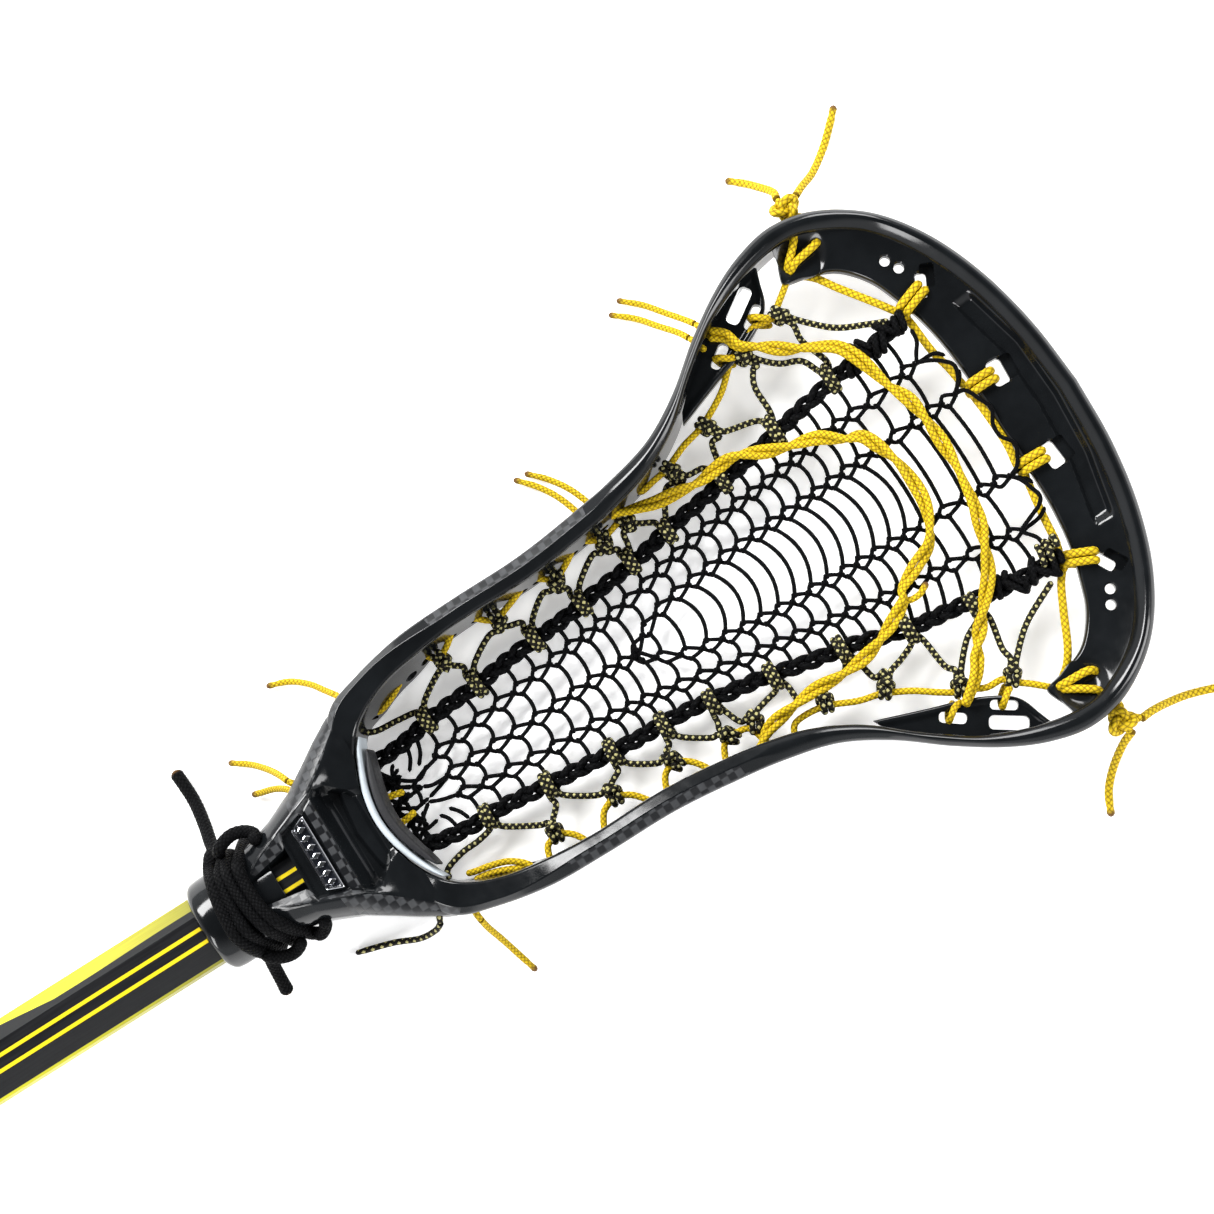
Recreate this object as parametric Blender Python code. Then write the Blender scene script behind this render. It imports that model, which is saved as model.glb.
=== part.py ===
"""Women's lacrosse stick, lying face up: head, strung pocket, shaft and butt cap.

World frame: +X from the butt to the scoop, +Y to the stick's left, +Z up out of the face.
Lengths below are millimetres in the head's own frame, whose x is 0 at the ball stop and whose
z is 0 on the shaft's axis; place() turns them into metres in the world.
"""
import math

import bmesh
import bpy
import numpy as np
from mathutils import Vector

MM = 0.001
HEAD_X = 280.6          # ball stop, ahead of the stick's middle
AXIS_Z = 18.1           # shaft axis above the ground
GAP = 0.3               # air between neighbouring solids

SHAFT_FLATS = 22.2      # across the flats of the octagon
SHAFT_WALL = 1.6
SHAFT_START = -815.0    # butt end of the tube
SHAFT_END = -15.3       # end inside the socket

CAP_END = -820.0
CAP_MOUTH = -790.0
CAP_RADIUS = AXIS_Z
CAP_WEB = 4.7           # end wall of the cap

SOCKET_MOUTH = -58.0
COLLAR_RADIUS = 15.2
NECK_RADIUS = 13.3
SOCKET_DEPTH = -14.8    # blind end of the shaft bore

RIM_TOP = 10.0
RAIL_LOW = -AXIS_Z      # underside of the sidewalls, on the ground
SCOOP_LOW = -5.0        # underside of the rim round the scoop

PANEL_FLOOR = 14.0      # recessed panel under the badge
PAD_LOW = -8.0          # bottom of the ball stop's pads, over the ends of the rails

SCREW_X = -26.0
SCREW_RADIUS = 2.0
SCREW_HEAD_RADIUS = 4.0

TOP_CORD = 2.6          # cord diameters
SIDE_CORD = 2.1
CROSS_CORD = 2.0
SHOOTING_CORD = 3.0
NECK_CORD = 4.2
RAIL_CORD = 5.2

# Rim stations from the throat to the scoop: outer x, y and inner x, y of the left half.
RIM = [
    (-4, 0, 3.6, 0), (-2, 13, 5.6, 12), (3, 27, 10.8, 23), (10, 37.2, 18, 30), (22, 41.7, 29, 34.8),
    (40, 45.3, 43, 37.3), (60, 46.1, 60, 38.6), (84, 46.3, 84, 38.5), (106, 48.6, 105, 40.6),
    (122, 51.2, 120, 43.2), (137.6, 55.4, 133, 47), (152, 63.5, 146.5, 54.2), (166, 74.4, 159.5, 65),
    (180, 83.6, 174, 75.4), (193, 89.4, 190, 82.2), (206, 91.7, 206, 85), (220, 88.4, 217, 82.4),
    (234.5, 78.3, 230, 73.8), (245.5, 62.8, 239.8, 59.4), (253, 43.5, 246.8, 41.2),
    (257.3, 22, 250.8, 21), (258.8, 0, 252.3, 0),
]
# Lip of the scoop's inner panel, from the corner tab to the middle.
LIP = [
    (200.3, 74.5), (209.6, 72.3), (216.8, 68.7), (223.2, 60.8), (226.9, 51.4), (229.7, 42),
    (231.6, 29.4), (232.2, 14), (232, 0),
]
# Outer edge of that panel, inside the rim's bead.
BEAD = [
    (203, 87.5), (209, 88.6), (219, 85.2), (229, 78.6), (239, 66.4), (246, 51.4), (251, 34), (254, 16),
    (254.4, 0),
]
# Slotted strut inside each corner: its edge towards the pocket.
STRUT = [
    (150, 54.6), (167.4, 60.8), (178.3, 64.4), (187.6, 69.1), (192.2, 73.4), (194.6, 80), (196.6, 85.7),
]
STRING_HOLES = [
    (24, 40), (44, 42.5), (64, 43.5), (88, 43.5), (107.4, 45.8), (112, 46.5), (134, 52), (154, 62.5),
]
STRING_HOLE = 1.9       # radius
STRING_LEVEL = -13.0
# Throat stations: x, half width, height of the top face, depth of the underside.
THROAT = [
    (-50, 13, 13, 13), (-42, 14, 14.4, 13.2), (-33, 15.4, 15.8, 13.3), (-24, 17.8, 16.6, 15),
    (-14, 22, 16, 16.5), (-6, 27.2, 13.6, 17.5), (0, 31.3, 11, 17.8), (7, 35.4, 10, 17.8),
    (16, 38.6, 9.4, 17.8),
]

COLOURS = {
    "gloss_black": ((0.012, 0.014, 0.016), 0.12, 0.0),
    "chrome": ((0.75, 0.76, 0.78), 0.08, 1.0),
    "white_foam": ((0.8, 0.82, 0.84), 0.6, 0.0),
    "black_foam": ((0.015, 0.015, 0.017), 0.7, 0.0),
    "shaft_paint": ((0.03, 0.032, 0.038), 0.35, 0.2),
    "rubber": ((0.02, 0.02, 0.02), 0.8, 0.0),
    "steel": ((0.6, 0.6, 0.62), 0.3, 1.0),
    "black_cord": ((0.012, 0.012, 0.014), 0.6, 0.0),
    "yellow_cord": ((0.9, 0.72, 0.01), 0.5, 0.0),
    "tracer_cord": ((0.35, 0.3, 0.05), 0.55, 0.0),
}


def clear_scene():
    for item in list(bpy.data.objects):
        bpy.data.objects.remove(item, do_unlink=True)


def place(x, y, z):
    """Metres in the world from millimetres in the head's frame."""
    return Vector(((x + HEAD_X) * MM, y * MM, (z + AXIS_Z) * MM))


def material(slot):
    found = bpy.data.materials.get(slot)
    if found:
        return found
    colour, roughness, metallic = COLOURS[slot]
    made = bpy.data.materials.new(slot)
    made.use_nodes = True
    shader = made.node_tree.nodes["Principled BSDF"]
    shader.inputs["Base Color"].default_value = (*colour, 1)
    shader.inputs["Roughness"].default_value = roughness
    shader.inputs["Metallic"].default_value = metallic
    return made


def smooth_curve(points, per_span):
    """Catmull-Rom points through the given ones, per_span steps between neighbours."""
    pts = np.array(points, float)
    ends = np.vstack([2 * pts[0] - pts[1], pts, 2 * pts[-1] - pts[-2]])
    out = []
    for i in range(1, len(ends) - 2):
        a, b, c, d = ends[i - 1:i + 3]
        for k in range(per_span):
            t = k / per_span
            out.append(0.5 * (2 * b + (c - a) * t + (2 * a - 5 * b + 4 * c - d) * t * t
                              + (3 * b - a - 3 * c + d) * t ** 3))
    out.append(pts[-1])
    return np.array(out)


def even_points(points, spacing):
    """Points a fixed distance apart along the smooth curve through a route."""
    fine = smooth_curve(points, 12)
    steps = np.linalg.norm(np.diff(fine, axis=0), axis=1)
    run = np.concatenate([[0], np.cumsum(steps)])
    count = max(3, int(round(run[-1] / spacing)) + 1)
    marks = np.linspace(0, run[-1], count)
    return np.column_stack([np.interp(marks, run, fine[:, k]) for k in range(3)])


def add_object(name, mesh, slot):
    item = bpy.data.objects.new(name, mesh)
    bpy.context.scene.collection.objects.link(item)
    mesh.materials.append(material(slot))
    return item


def mesh_from(name, rings, slot, closed=False):
    """Skin of equal rings of points in the head's frame; ends capped unless closed."""
    bm = bmesh.new()
    loops = [[bm.verts.new(place(*p)) for p in ring] for ring in rings]
    count = len(loops[0])
    last = len(loops) if closed else len(loops) - 1
    for i in range(last):
        a, b = loops[i], loops[(i + 1) % len(loops)]
        for k in range(count):
            bm.faces.new((a[k], a[(k + 1) % count], b[(k + 1) % count], b[k]))
    if not closed:
        bm.faces.new(loops[0][::-1])
        bm.faces.new(loops[-1])
    bmesh.ops.recalc_face_normals(bm, faces=bm.faces)
    mesh = bpy.data.meshes.new(name)
    bm.to_mesh(mesh)
    bm.free()
    mesh.shade_smooth()
    mesh.set_sharp_from_angle(angle=math.radians(40))
    return add_object(name, mesh, slot)


def prism(name, outline, z_low, z_high, slot="gloss_black"):
    """Upright prism over a plan outline."""
    rings = [[(x, y, z) for x, y in outline] for z in (z_low, z_high)]
    return mesh_from(name, rings, slot)


def turned(name, profile, sides, slot):
    """Solid turned about the shaft's axis from (x, radius) points."""
    rings = []
    for x, radius in profile:
        turn = [2 * math.pi * k / sides for k in range(sides)]
        rings.append([(x, radius * math.cos(t), radius * math.sin(t)) for t in turn])
    return mesh_from(name, rings, slot)


def octagon(x, flats):
    """Ring of an octagon at x, a flat facing up."""
    reach = flats / 2 / math.cos(math.pi / 8)
    turn = [math.pi / 8 + math.pi / 4 * k for k in range(8)]
    return [(x, reach * math.cos(t), reach * math.sin(t)) for t in turn]


def apply_boolean(target, tool, operation):
    step = target.modifiers.new(operation.lower(), "BOOLEAN")
    step.operation = operation
    step.object = tool
    step.solver = "EXACT"
    depsgraph = bpy.context.evaluated_depsgraph_get()
    done = bpy.data.meshes.new_from_object(target.evaluated_get(depsgraph))
    target.modifiers.clear()
    target.data = done
    bpy.data.objects.remove(tool, do_unlink=True)


def tube(name, route, diameter, slot, sides_level=1, spacing=None, closed=False):
    """Cord along a smooth route in the head's frame."""
    points = even_points(route, spacing or 2.5 * diameter)
    curve = bpy.data.curves.new(name, "CURVE")
    curve.dimensions = "3D"
    spline = curve.splines.new("POLY")
    spline.points.add(len(points) - 1)
    for item, point in zip(spline.points, points):
        item.co = (*place(*point), 1)
    spline.use_cyclic_u = closed
    curve.bevel_depth = diameter / 2 * MM
    curve.bevel_resolution = sides_level
    curve.use_fill_caps = True
    item = bpy.data.objects.new(name, curve)
    bpy.context.scene.collection.objects.link(item)
    curve.materials.append(material(slot))
    return item


def rim_stations(per_span=3):
    """Rim stations round the whole opening, throat first, left side then right."""
    half = smooth_curve(RIM, per_span)
    mirror = half[1:-1][::-1] * np.array([1, -1, 1, -1])
    return np.vstack([half, mirror])


def rim_section(station):
    """Section of the rim: a bead over a wall that stands back from it."""
    xo, yo, xi, yi = station
    rise = min(max((xo - 150) / 80, 0), 1)
    low = RAIL_LOW + (SCOOP_LOW - RAIL_LOW) * rise * rise * (3 - 2 * rise)
    shape = [
        (0.0, RIM_TOP - 4), (0.08, RIM_TOP - 1.2), (0.3, RIM_TOP), (0.75, RIM_TOP),
        (0.97, RIM_TOP - 1.4), (1.0, RIM_TOP - 5), (0.97, low + 1), (0.85, low), (0.5, low),
        (0.38, low + 1.5), (0.3, RIM_TOP - 11), (0.06, RIM_TOP - 8),
    ]
    return [(xo + (xi - xo) * q, yo + (yi - yo) * q, z) for q, z in shape]


def make_rim():
    rings = [rim_section(s) for s in rim_stations()]
    return mesh_from("head_frame", rings, "gloss_black", closed=True)


def opening_cutter():
    """Prism over the opening, to clear the throat out of it."""
    stations = rim_stations()
    outline = [(s[0] + (s[2] - s[0]) * 0.9, s[1] + (s[3] - s[1]) * 0.9) for s in stations]
    return prism("opening_cut", outline, -AXIS_Z - 4, RIM_TOP + 4)


def scoop_panel():
    """Inner panel that slopes from the rim's bead down to the lip."""
    lip = smooth_curve(LIP, 3)
    outer = smooth_curve(BEAD, 3)
    lip = np.vstack([lip, lip[:-1][::-1] * [1, -1]])
    outer = np.vstack([outer, outer[:-1][::-1] * [1, -1]])
    rings = []
    for (xl, yl), (xo, yo) in zip(lip, outer):
        dip = [(0, 7.0), (0.35, 5.0), (0.8, 2.2), (1, 1.6), (1, -1.8), (0.8, -1.2), (0.35, 1.4), (0, 2.6)]
        rings.append([(xo + (xl - xo) * q, yo + (yl - yo) * q, z) for q, z in dip])
    return mesh_from("panel", rings, "gloss_black")


def strut(side):
    edge = [tuple(p) for p in smooth_curve(STRUT, 3)]
    back = [(188, 85), (174, 77), (162, 68), (150, 58)]
    outline = [(x, y * side) for x, y in edge + back]
    return prism("strut", outline[::side], -5.5, -2.0)


def box_cutter(x, y, z_low, z_high, length, width, angle=0.0):
    """Upright box cutter centred on a plan point; angle turns its length from +X."""
    turn = math.radians(angle)
    outline = []
    for a, b in ((-1, -1), (1, -1), (1, 1), (-1, 1)):
        u, v = a * length / 2, b * width / 2
        outline.append((x + u * math.cos(turn) - v * math.sin(turn),
                        y + u * math.sin(turn) + v * math.cos(turn)))
    return prism("cut", outline, z_low, z_high)


def rod_cutter(x, y, radius, z_low, z_high, sides=10):
    turn = [2 * math.pi * k / sides for k in range(sides)]
    outline = [(x + radius * math.cos(t), y + radius * math.sin(t)) for t in turn]
    return prism("cut", outline, z_low, z_high)


def side_cutter(x, y, z):
    """String hole along y through a sidewall, centred on it."""
    rings = []
    for reach in (-9, 9):
        turn = [2 * math.pi * k / 6 for k in range(6)]
        hole = [(STRING_HOLE * math.cos(t), STRING_HOLE * math.sin(t)) for t in turn]
        rings.append([(x + u, y + reach, z + v) for u, v in hole])
    return mesh_from("cut", rings, "gloss_black")


def throat_ring(x, half, top, low):
    """Rounded section of the throat at x."""
    corners = [(1, 0.45), (1, -0.45), (0.67, -1), (-0.67, -1), (-1, -0.45), (-1, 0.45), (-0.67, 1), (0.67, 1)]
    return [(x, y * half, z * (top if z > 0 else low)) for y, z in corners]


def throat_body():
    """Flaring throat between the socket and the rim."""
    return mesh_from("throat", [throat_ring(*station) for station in THROAT], "gloss_black")


def socket():
    profile = [
        (SOCKET_MOUTH, 13.6), (SOCKET_MOUTH + 1.5, 14.8), (SOCKET_MOUTH + 4, COLLAR_RADIUS),
        (SOCKET_MOUTH + 12, COLLAR_RADIUS), (SOCKET_MOUTH + 14.5, 14.4),
        (SOCKET_MOUTH + 15.5, NECK_RADIUS), (-30, NECK_RADIUS),
    ]
    return turned("socket", profile, 20, "gloss_black")


def make_head():
    head = make_rim()
    throat = throat_body()
    apply_boolean(throat, opening_cutter(), "DIFFERENCE")
    for piece in (throat, socket(), scoop_panel(), strut(1), strut(-1)):
        apply_boolean(head, piece, "UNION")
    for cutter in head_cutters():
        apply_boolean(head, cutter, "DIFFERENCE")
    head.name = "head_frame"
    return head


def head_cutters():
    """Every hole of the head: shaft bore, windows, recesses and string holes."""
    flats = SHAFT_FLATS + 2 * GAP
    yield mesh_from("cut", [octagon(SOCKET_MOUTH - 4, flats), octagon(SOCKET_DEPTH, flats)], "gloss_black")
    yield prism("cut", [(-37.5, -4), (-23.5, -6.5), (-23.5, 6.5), (-37.5, 4)], 5, RIM_TOP + 12)
    yield prism("cut", [(-21.5, -11), (-8.5, -16.5), (-8.5, 16.5), (-21.5, 11)], PANEL_FLOOR, RIM_TOP + 12)
    yield prism("cut", [(-6.8, -17), (-2.4, -16), (-2.4, 16), (-6.8, 17)], 2, RIM_TOP + 12)
    yield rod_cutter(SCREW_X, 0, SCREW_RADIUS + GAP, -AXIS_Z - 4, -5)
    yield rod_cutter(SCREW_X, 0, SCREW_HEAD_RADIUS + GAP, -AXIS_Z - 4, -12.8, 14)
    for side in (1, -1):
        for x, y in STRING_HOLES:
            yield side_cutter(x, y * side, STRING_LEVEL)
        yield box_cutter(234.8, 51.2 * side, -12, 18, 6, 9, -28 * side)
        yield box_cutter(240, 15.3 * side, -12, 18, 6, 9, -6 * side)
        yield rod_cutter(230, 63.6 * side, 1.7, -12, 12)
        yield rod_cutter(233.2, 59 * side, 1.7, -12, 12)
        yield rod_cutter(203.2, 76.4 * side, 1.9, -12, 12)
        yield rod_cutter(206.6, 82.4 * side, 2.0, -12, 8)
        yield box_cutter(185, 77.2 * side, -12, 2, 12, 3.6, 34 * side)
        yield box_cutter(186.2, 71.9 * side, -12, 2, 9, 3.2, 34 * side)
        yield box_cutter(171, 66.6 * side, -12, 2, 8, 3.2, 36 * side)


def shaft():
    tube_item = mesh_from("shaft", [octagon(SHAFT_START, SHAFT_FLATS), octagon(SHAFT_END, SHAFT_FLATS)],
                          "shaft_paint")
    inner = SHAFT_FLATS - 2 * SHAFT_WALL
    bore = mesh_from("cut", [octagon(SHAFT_START - 2, inner), octagon(SHAFT_END + 2, inner)], "shaft_paint")
    apply_boolean(tube_item, bore, "DIFFERENCE")
    apply_boolean(tube_item, rod_cutter(SCREW_X, 0, SCREW_RADIUS + GAP, -14, -5), "DIFFERENCE")
    return tube_item


def butt_cap():
    profile = [(CAP_END, 13.5), (CAP_END + 2, 15.4), (CAP_END + 5, CAP_RADIUS), (CAP_END + 14, CAP_RADIUS),
               (CAP_MOUTH - 2, 14.4), (CAP_MOUTH, 13.6)]
    cap = turned("butt_cap", profile, 24, "rubber")
    pocket = mesh_from("cut", [octagon(CAP_END + CAP_WEB, SHAFT_FLATS + 2 * GAP),
                               octagon(CAP_MOUTH + 2, SHAFT_FLATS + 2 * GAP)], "rubber")
    apply_boolean(cap, pocket, "DIFFERENCE")
    return cap


def head_screw():
    rings = []
    for radius, z in ((3.6, -14.6), (SCREW_HEAD_RADIUS, -14.2), (SCREW_HEAD_RADIUS, -13.1),
                      (SCREW_RADIUS, -13.1), (SCREW_RADIUS, -6.0), (1.2, -5.2)):
        turn = [2 * math.pi * k / 12 for k in range(12)]
        rings.append([(SCREW_X + radius * math.cos(t), radius * math.sin(t), z) for t in turn])
    return mesh_from("head_screw", rings, "steel")


def throat_badge():
    outline = [(-18.3, -11), (-12.3, -13.6), (-12.3, 13.6), (-18.3, 11)]
    return prism("throat_badge", outline, PANEL_FLOOR + GAP, PANEL_FLOOR + 1.9, "chrome")


def crescent(name, inset, thickness, reach, z_low, z_high, slot):
    """Pad that follows the throat's inner arc, inset from it."""
    arc = [(s[2], s[3]) for s in RIM[:5]]
    full = [(x, -y) for x, y in arc[:0:-1]] + arc
    line = smooth_curve(full, 4)
    line = line[np.abs(line[:, 1]) < reach]
    ahead = np.gradient(line, axis=0)
    normal = np.column_stack([ahead[:, 1], -ahead[:, 0]])
    normal /= np.linalg.norm(normal, axis=1)[:, None]
    taper = 1 - 0.75 * (np.abs(line[:, 1]) / reach) ** 3
    near = line + normal * inset
    far = near + normal * (thickness * taper)[:, None]
    rings = []
    for a, b in zip(near, far):
        rings.append([(*a, z_low), (*a, z_high), (*b, z_high), (*b, z_low)])
    return mesh_from(name, rings, slot)


def rail_line(x):
    """Half distance between the rails at x."""
    return 13.5 + 0.146 * (x - 9)


def pocket_height(x):
    """Height of the pocket's bottom along the stick, from the shaft's axis."""
    rise = max(0, (x - 120) / 105)
    return -13.2 + 14.5 * rise ** 2


def mesh_pocket():
    """Plain thin dish between the rails, from the throat to the scoop's lip."""
    rings = []
    for x in np.linspace(12, 222, 16):
        half = rail_line(x) - 3.6
        low = pocket_height(x)
        ring = [(x, half * q, low + 1.6 * q * q) for q in np.linspace(-1, 1, 5)]
        ring += [(x, half * q, low + 1.6 * q * q + 0.9) for q in np.linspace(1, -1, 5)]
        rings.append(ring)
    return mesh_from("mesh_pocket", rings, "black_cord")


def rail(side):
    route = []
    for x in (9, 40, 80, 120, 160, 195, 222):
        route.append((x, side * rail_line(x), pocket_height(x) + 2.0))
    name = "left_rail" if side > 0 else "right_rail"
    return tube(name, route, RAIL_CORD, "black_cord", spacing=12)


def sidewall_string(side):
    """Yellow string inside the sidewall, from the throat to the corner tab."""
    stations = [(18, 27.6), (34, 32.6), (60, 35.6), (84, 36.2), (105, 38.4), (120, 40.8), (133, 45),
                (146, 50), (166, 56.6), (180, 62), (190, 66.5), (197.5, 70)]
    route = [(x, side * y, -11 + 10.5 * max(0, (x - 120) / 78)) for x, y in stations]
    name = "left_sidewall_string" if side > 0 else "right_sidewall_string"
    return tube(name, route, SIDE_CORD, "yellow_cord", spacing=7)


def crosslace(side):
    """Zigzag lace between the rail and the sidewall string."""
    route = []
    outer = [(22, 26.5), (46, 31), (68, 32.4), (90, 33), (110, 35.5), (130, 40), (150, 47), (170, 54.5),
             (188, 62)]
    for x, y in outer:
        rise = -11 + 10.5 * max(0, (x - 120) / 78)
        route.append((x, side * y, rise + 0.5))
        inner = rail_line(x + 11) + 5
        route.append((x + 11, side * inner, pocket_height(x + 11) + 2.5))
    name = "left_crosslace" if side > 0 else "right_crosslace"
    return tube(name, route, CROSS_CORD, "tracer_cord", spacing=7)


def shooting_string(name, half):
    """Doubled yellow string across the pocket, on top of the rails; half runs sidewall to middle."""
    route = half + [(x, -y, z) for x, y, z in half[::-1]]
    return tube(name, route, SHOOTING_CORD, "yellow_cord", spacing=7)


def top_string():
    """Yellow string along the scoop's lip, tab to tab."""
    half = [(205, 69.5), (213, 65.5), (218.5, 60), (222, 53), (225.4, 45), (227.6, 31), (228.6, 16),
            (228.6, 0)]
    route = [(x, y, 0.4) for x, y in half] + [(x, -y, 0.4) for x, y in half[-2::-1]]
    return tube("top_string", route, TOP_CORD, "yellow_cord", spacing=6)


def neck_cord():
    """Cord wound round the neck, ahead of the collar, outside the throat's rounded section."""
    steps, turns, pitch, start = 16, 2, 4.6, -42.3
    stand_off = NECK_CORD / 2 + GAP + 0.1
    xs, *sizes = zip(*THROAT)
    points = []
    for k in range(steps * turns + 1):
        t = 2 * math.pi * k / steps
        x = start + pitch * k / steps
        toward = (math.cos(t), math.sin(t))
        reach = [np.interp(x + pitch / 2, xs, size) for size in sizes]
        corner = max(throat_ring(x, *reach), key=lambda p: p[1] * toward[0] + p[2] * toward[1])
        points.append((x, corner[1] + stand_off * toward[0], corner[2] + stand_off * toward[1]))
    return tube("neck_cord", points, NECK_CORD, "black_cord", spacing=7)


def knot(name, x, y):
    rings = []
    for k in range(1, 6):
        t = math.pi * k / 6
        radius, high = 4.2 * math.sin(t), 4.2 * math.cos(t)
        turn = [2 * math.pi * j / 10 for j in range(10)]
        rings.append([(x + radius * math.cos(a), y + 0.75 * radius * math.sin(a), high) for a in turn])
    return mesh_from(name, rings, "yellow_cord")


# Free ends: name, diameter, slot and route. Each leaves the head and droops to the ground.
TAILS = [
    ("tail_corner_left_a", TOP_CORD, "yellow_cord",
     [(213, 99.4, 0), (213.6, 102.5, -3), (212, 107.2, -9), (208.8, 112.6, -14), (204.6, 117.2, -16.4)]),
    ("tail_corner_left_b", TOP_CORD, "yellow_cord",
     [(218.6, 97, 0), (222.4, 99.4, -4), (228.4, 102.8, -11), (235.8, 108.4, -15.6), (242, 114, -16.4),
      (247, 119, -16.4)]),
    ("tail_corner_right_a", TOP_CORD, "yellow_cord",
     [(219.4, -97.6, 0), (223.6, -97.4, -3), (230, -98, -9), (237.4, -99.4, -14), (245.4, -102, -16.2),
      (254, -105, -16.4)]),
    ("tail_corner_right_b", TOP_CORD, "yellow_cord",
     [(214.6, -99.4, 0), (210.8, -101.4, -5), (205.4, -105.8, -11), (200.6, -111.4, -15.2),
      (197, -118.6, -16.4)]),
    ("tail_shooting_upper_left_a", SIDE_CORD, "yellow_cord",
     [(170.4, 80.6, -4), (168.4, 84.4, -7), (165, 90, -11), (160.6, 97, -15.2), (154.4, 103.2, -16.7)]),
    ("tail_shooting_upper_left_b", SIDE_CORD, "yellow_cord",
     [(166.4, 77.8, -4), (164.6, 81.8, -7), (161, 87.4, -11), (156.4, 94.4, -15.2), (149.8, 100.6, -16.7)]),
    ("tail_shooting_lower_left_a", SIDE_CORD, "yellow_cord",
     [(112, 42.4, -13), (112, 47, -13), (112, 51.6, -13.2), (109.4, 59, -14.8), (105.2, 65.8, -16.4),
      (99.8, 71.6, -16.7)]),
    ("tail_shooting_lower_left_b", SIDE_CORD, "yellow_cord",
     [(107.4, 42.4, -13), (107.4, 46.5, -13), (107.4, 51, -13.2), (105, 58.6, -14.8), (101.2, 65.4, -16.4),
      (95.8, 71.8, -16.7)]),
    ("tail_sidewall_left", SIDE_CORD, "yellow_cord",
     [(13, 41.4, -2), (10.4, 45, -6.4), (6.4, 50.4, -12), (0.8, 55.2, -15.8), (-6.4, 58, -16.7)]),
    ("tail_throat_left", SIDE_CORD, "yellow_cord",
     [(-12.8, 25.6, 5), (-14.6, 29, 1), (-18, 33.6, -6), (-23, 38.8, -13.4), (-29.4, 43.6, -16.7)]),
    ("tail_crosslace_right", CROSS_CORD, "tracer_cord",
     [(4, -36.6, -1), (1, -37.4, -5), (-5.4, -36.6, -11.6), (-14, -33, -16), (-26, -29.4, -16.7)]),
    ("tail_sidewall_right", SIDE_CORD, "yellow_cord",
     [(15.4, -42.4, 0), (15.6, -45.6, -4.4), (16.6, -50.6, -10.6), (18, -57, -15.2), (20, -64.4, -16.7)]),
    ("tail_neck_left", NECK_CORD, "black_cord",
     [(-44.4, 19.8, 0), (-44.8, 23.4, -3.6), (-44.6, 30, -9), (-44.6, 39.4, -14.2), (-45.4, 50.6, -15.6)]),
]


def make_pocket():
    mesh_pocket()
    for side in (1, -1):
        rail(side)
        sidewall_string(side)
        crosslace(side)
    top_string()
    shooting_string("upper_shooting_string",
                    [(168, 55, 0.5), (178, 46, 0.6), (190, 36, 0.8), (201, 22, 1.2), (207, 8, 1.8)])
    shooting_string("lower_shooting_string",
                    [(108, 34, -6.2), (128, 30, -6.2), (152, 26, -6), (172, 16, -5), (180, 5, -4.6)])


def build():
    clear_scene()
    make_head()
    throat_badge()
    crescent("ball_stop_foam", 0.5, 2.2, 26, PAD_LOW, RIM_TOP - 2, "white_foam")
    crescent("ball_stop_pad", 3.1, 3.0, 23, PAD_LOW, RIM_TOP - 3.5, "black_foam")
    head_screw()
    shaft()
    butt_cap()
    make_pocket()
    neck_cord()
    knot("left_corner_knot", 213, 94.8)
    knot("right_corner_knot", 213, -94.8)
    for name, diameter, slot, route in TAILS:
        tube(name, route, diameter, slot, sides_level=2)


build()
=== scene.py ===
import math

import bmesh
import bpy
import numpy as np
from mathutils import Matrix, Vector


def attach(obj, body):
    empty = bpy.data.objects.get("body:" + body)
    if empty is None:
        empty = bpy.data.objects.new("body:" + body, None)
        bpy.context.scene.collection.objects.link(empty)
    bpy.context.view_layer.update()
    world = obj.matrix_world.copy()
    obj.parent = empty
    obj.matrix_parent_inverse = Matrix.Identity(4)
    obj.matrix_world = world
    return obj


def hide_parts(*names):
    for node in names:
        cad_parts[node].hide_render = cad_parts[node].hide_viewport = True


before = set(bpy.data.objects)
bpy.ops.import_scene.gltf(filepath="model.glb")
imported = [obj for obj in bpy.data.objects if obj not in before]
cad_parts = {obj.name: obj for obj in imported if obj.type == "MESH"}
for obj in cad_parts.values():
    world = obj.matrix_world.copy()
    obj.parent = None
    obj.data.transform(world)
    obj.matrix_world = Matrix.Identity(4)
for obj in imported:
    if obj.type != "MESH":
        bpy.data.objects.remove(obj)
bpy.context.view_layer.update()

# Lengths are millimetres in the head's own frame: x from the ball stop towards the scoop,
# y to the stick's left, z up from the shaft's axis. place() turns them into metres in the world.
HEAD_X = 280.6
AXIS_Z = 18.1

RIM_TOP = 10.0
LOW = -AXIS_Z
# Rim stations from the throat to the scoop's middle: outer x and y, inner x and y of the left half.
RIM = [
    (-4, 0, 3.6, 0), (-2, 13, 5.6, 12), (3, 27, 10.8, 23), (10, 37.2, 18, 30), (22, 41.7, 29, 34.8),
    (40, 45.3, 43, 37.3), (60, 46.1, 60, 38.6), (84, 46.3, 84, 38.5), (106, 48.6, 105, 40.6),
    (122, 51.2, 120, 43.2), (137.6, 55.4, 133, 47), (152, 63.5, 146.5, 54.2), (166, 74.4, 159.5, 65),
    (180, 83.6, 174, 75.4), (193, 89.4, 190, 82.2), (206, 91.7, 206, 85), (220, 88.4, 217, 82.4),
    (234.5, 78.3, 230, 73.8), (245.5, 62.8, 239.8, 59.4), (253, 43.5, 246.8, 41.2),
    (257.3, 22, 250.8, 21), (258.8, 0, 252.3, 0),
]
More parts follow.
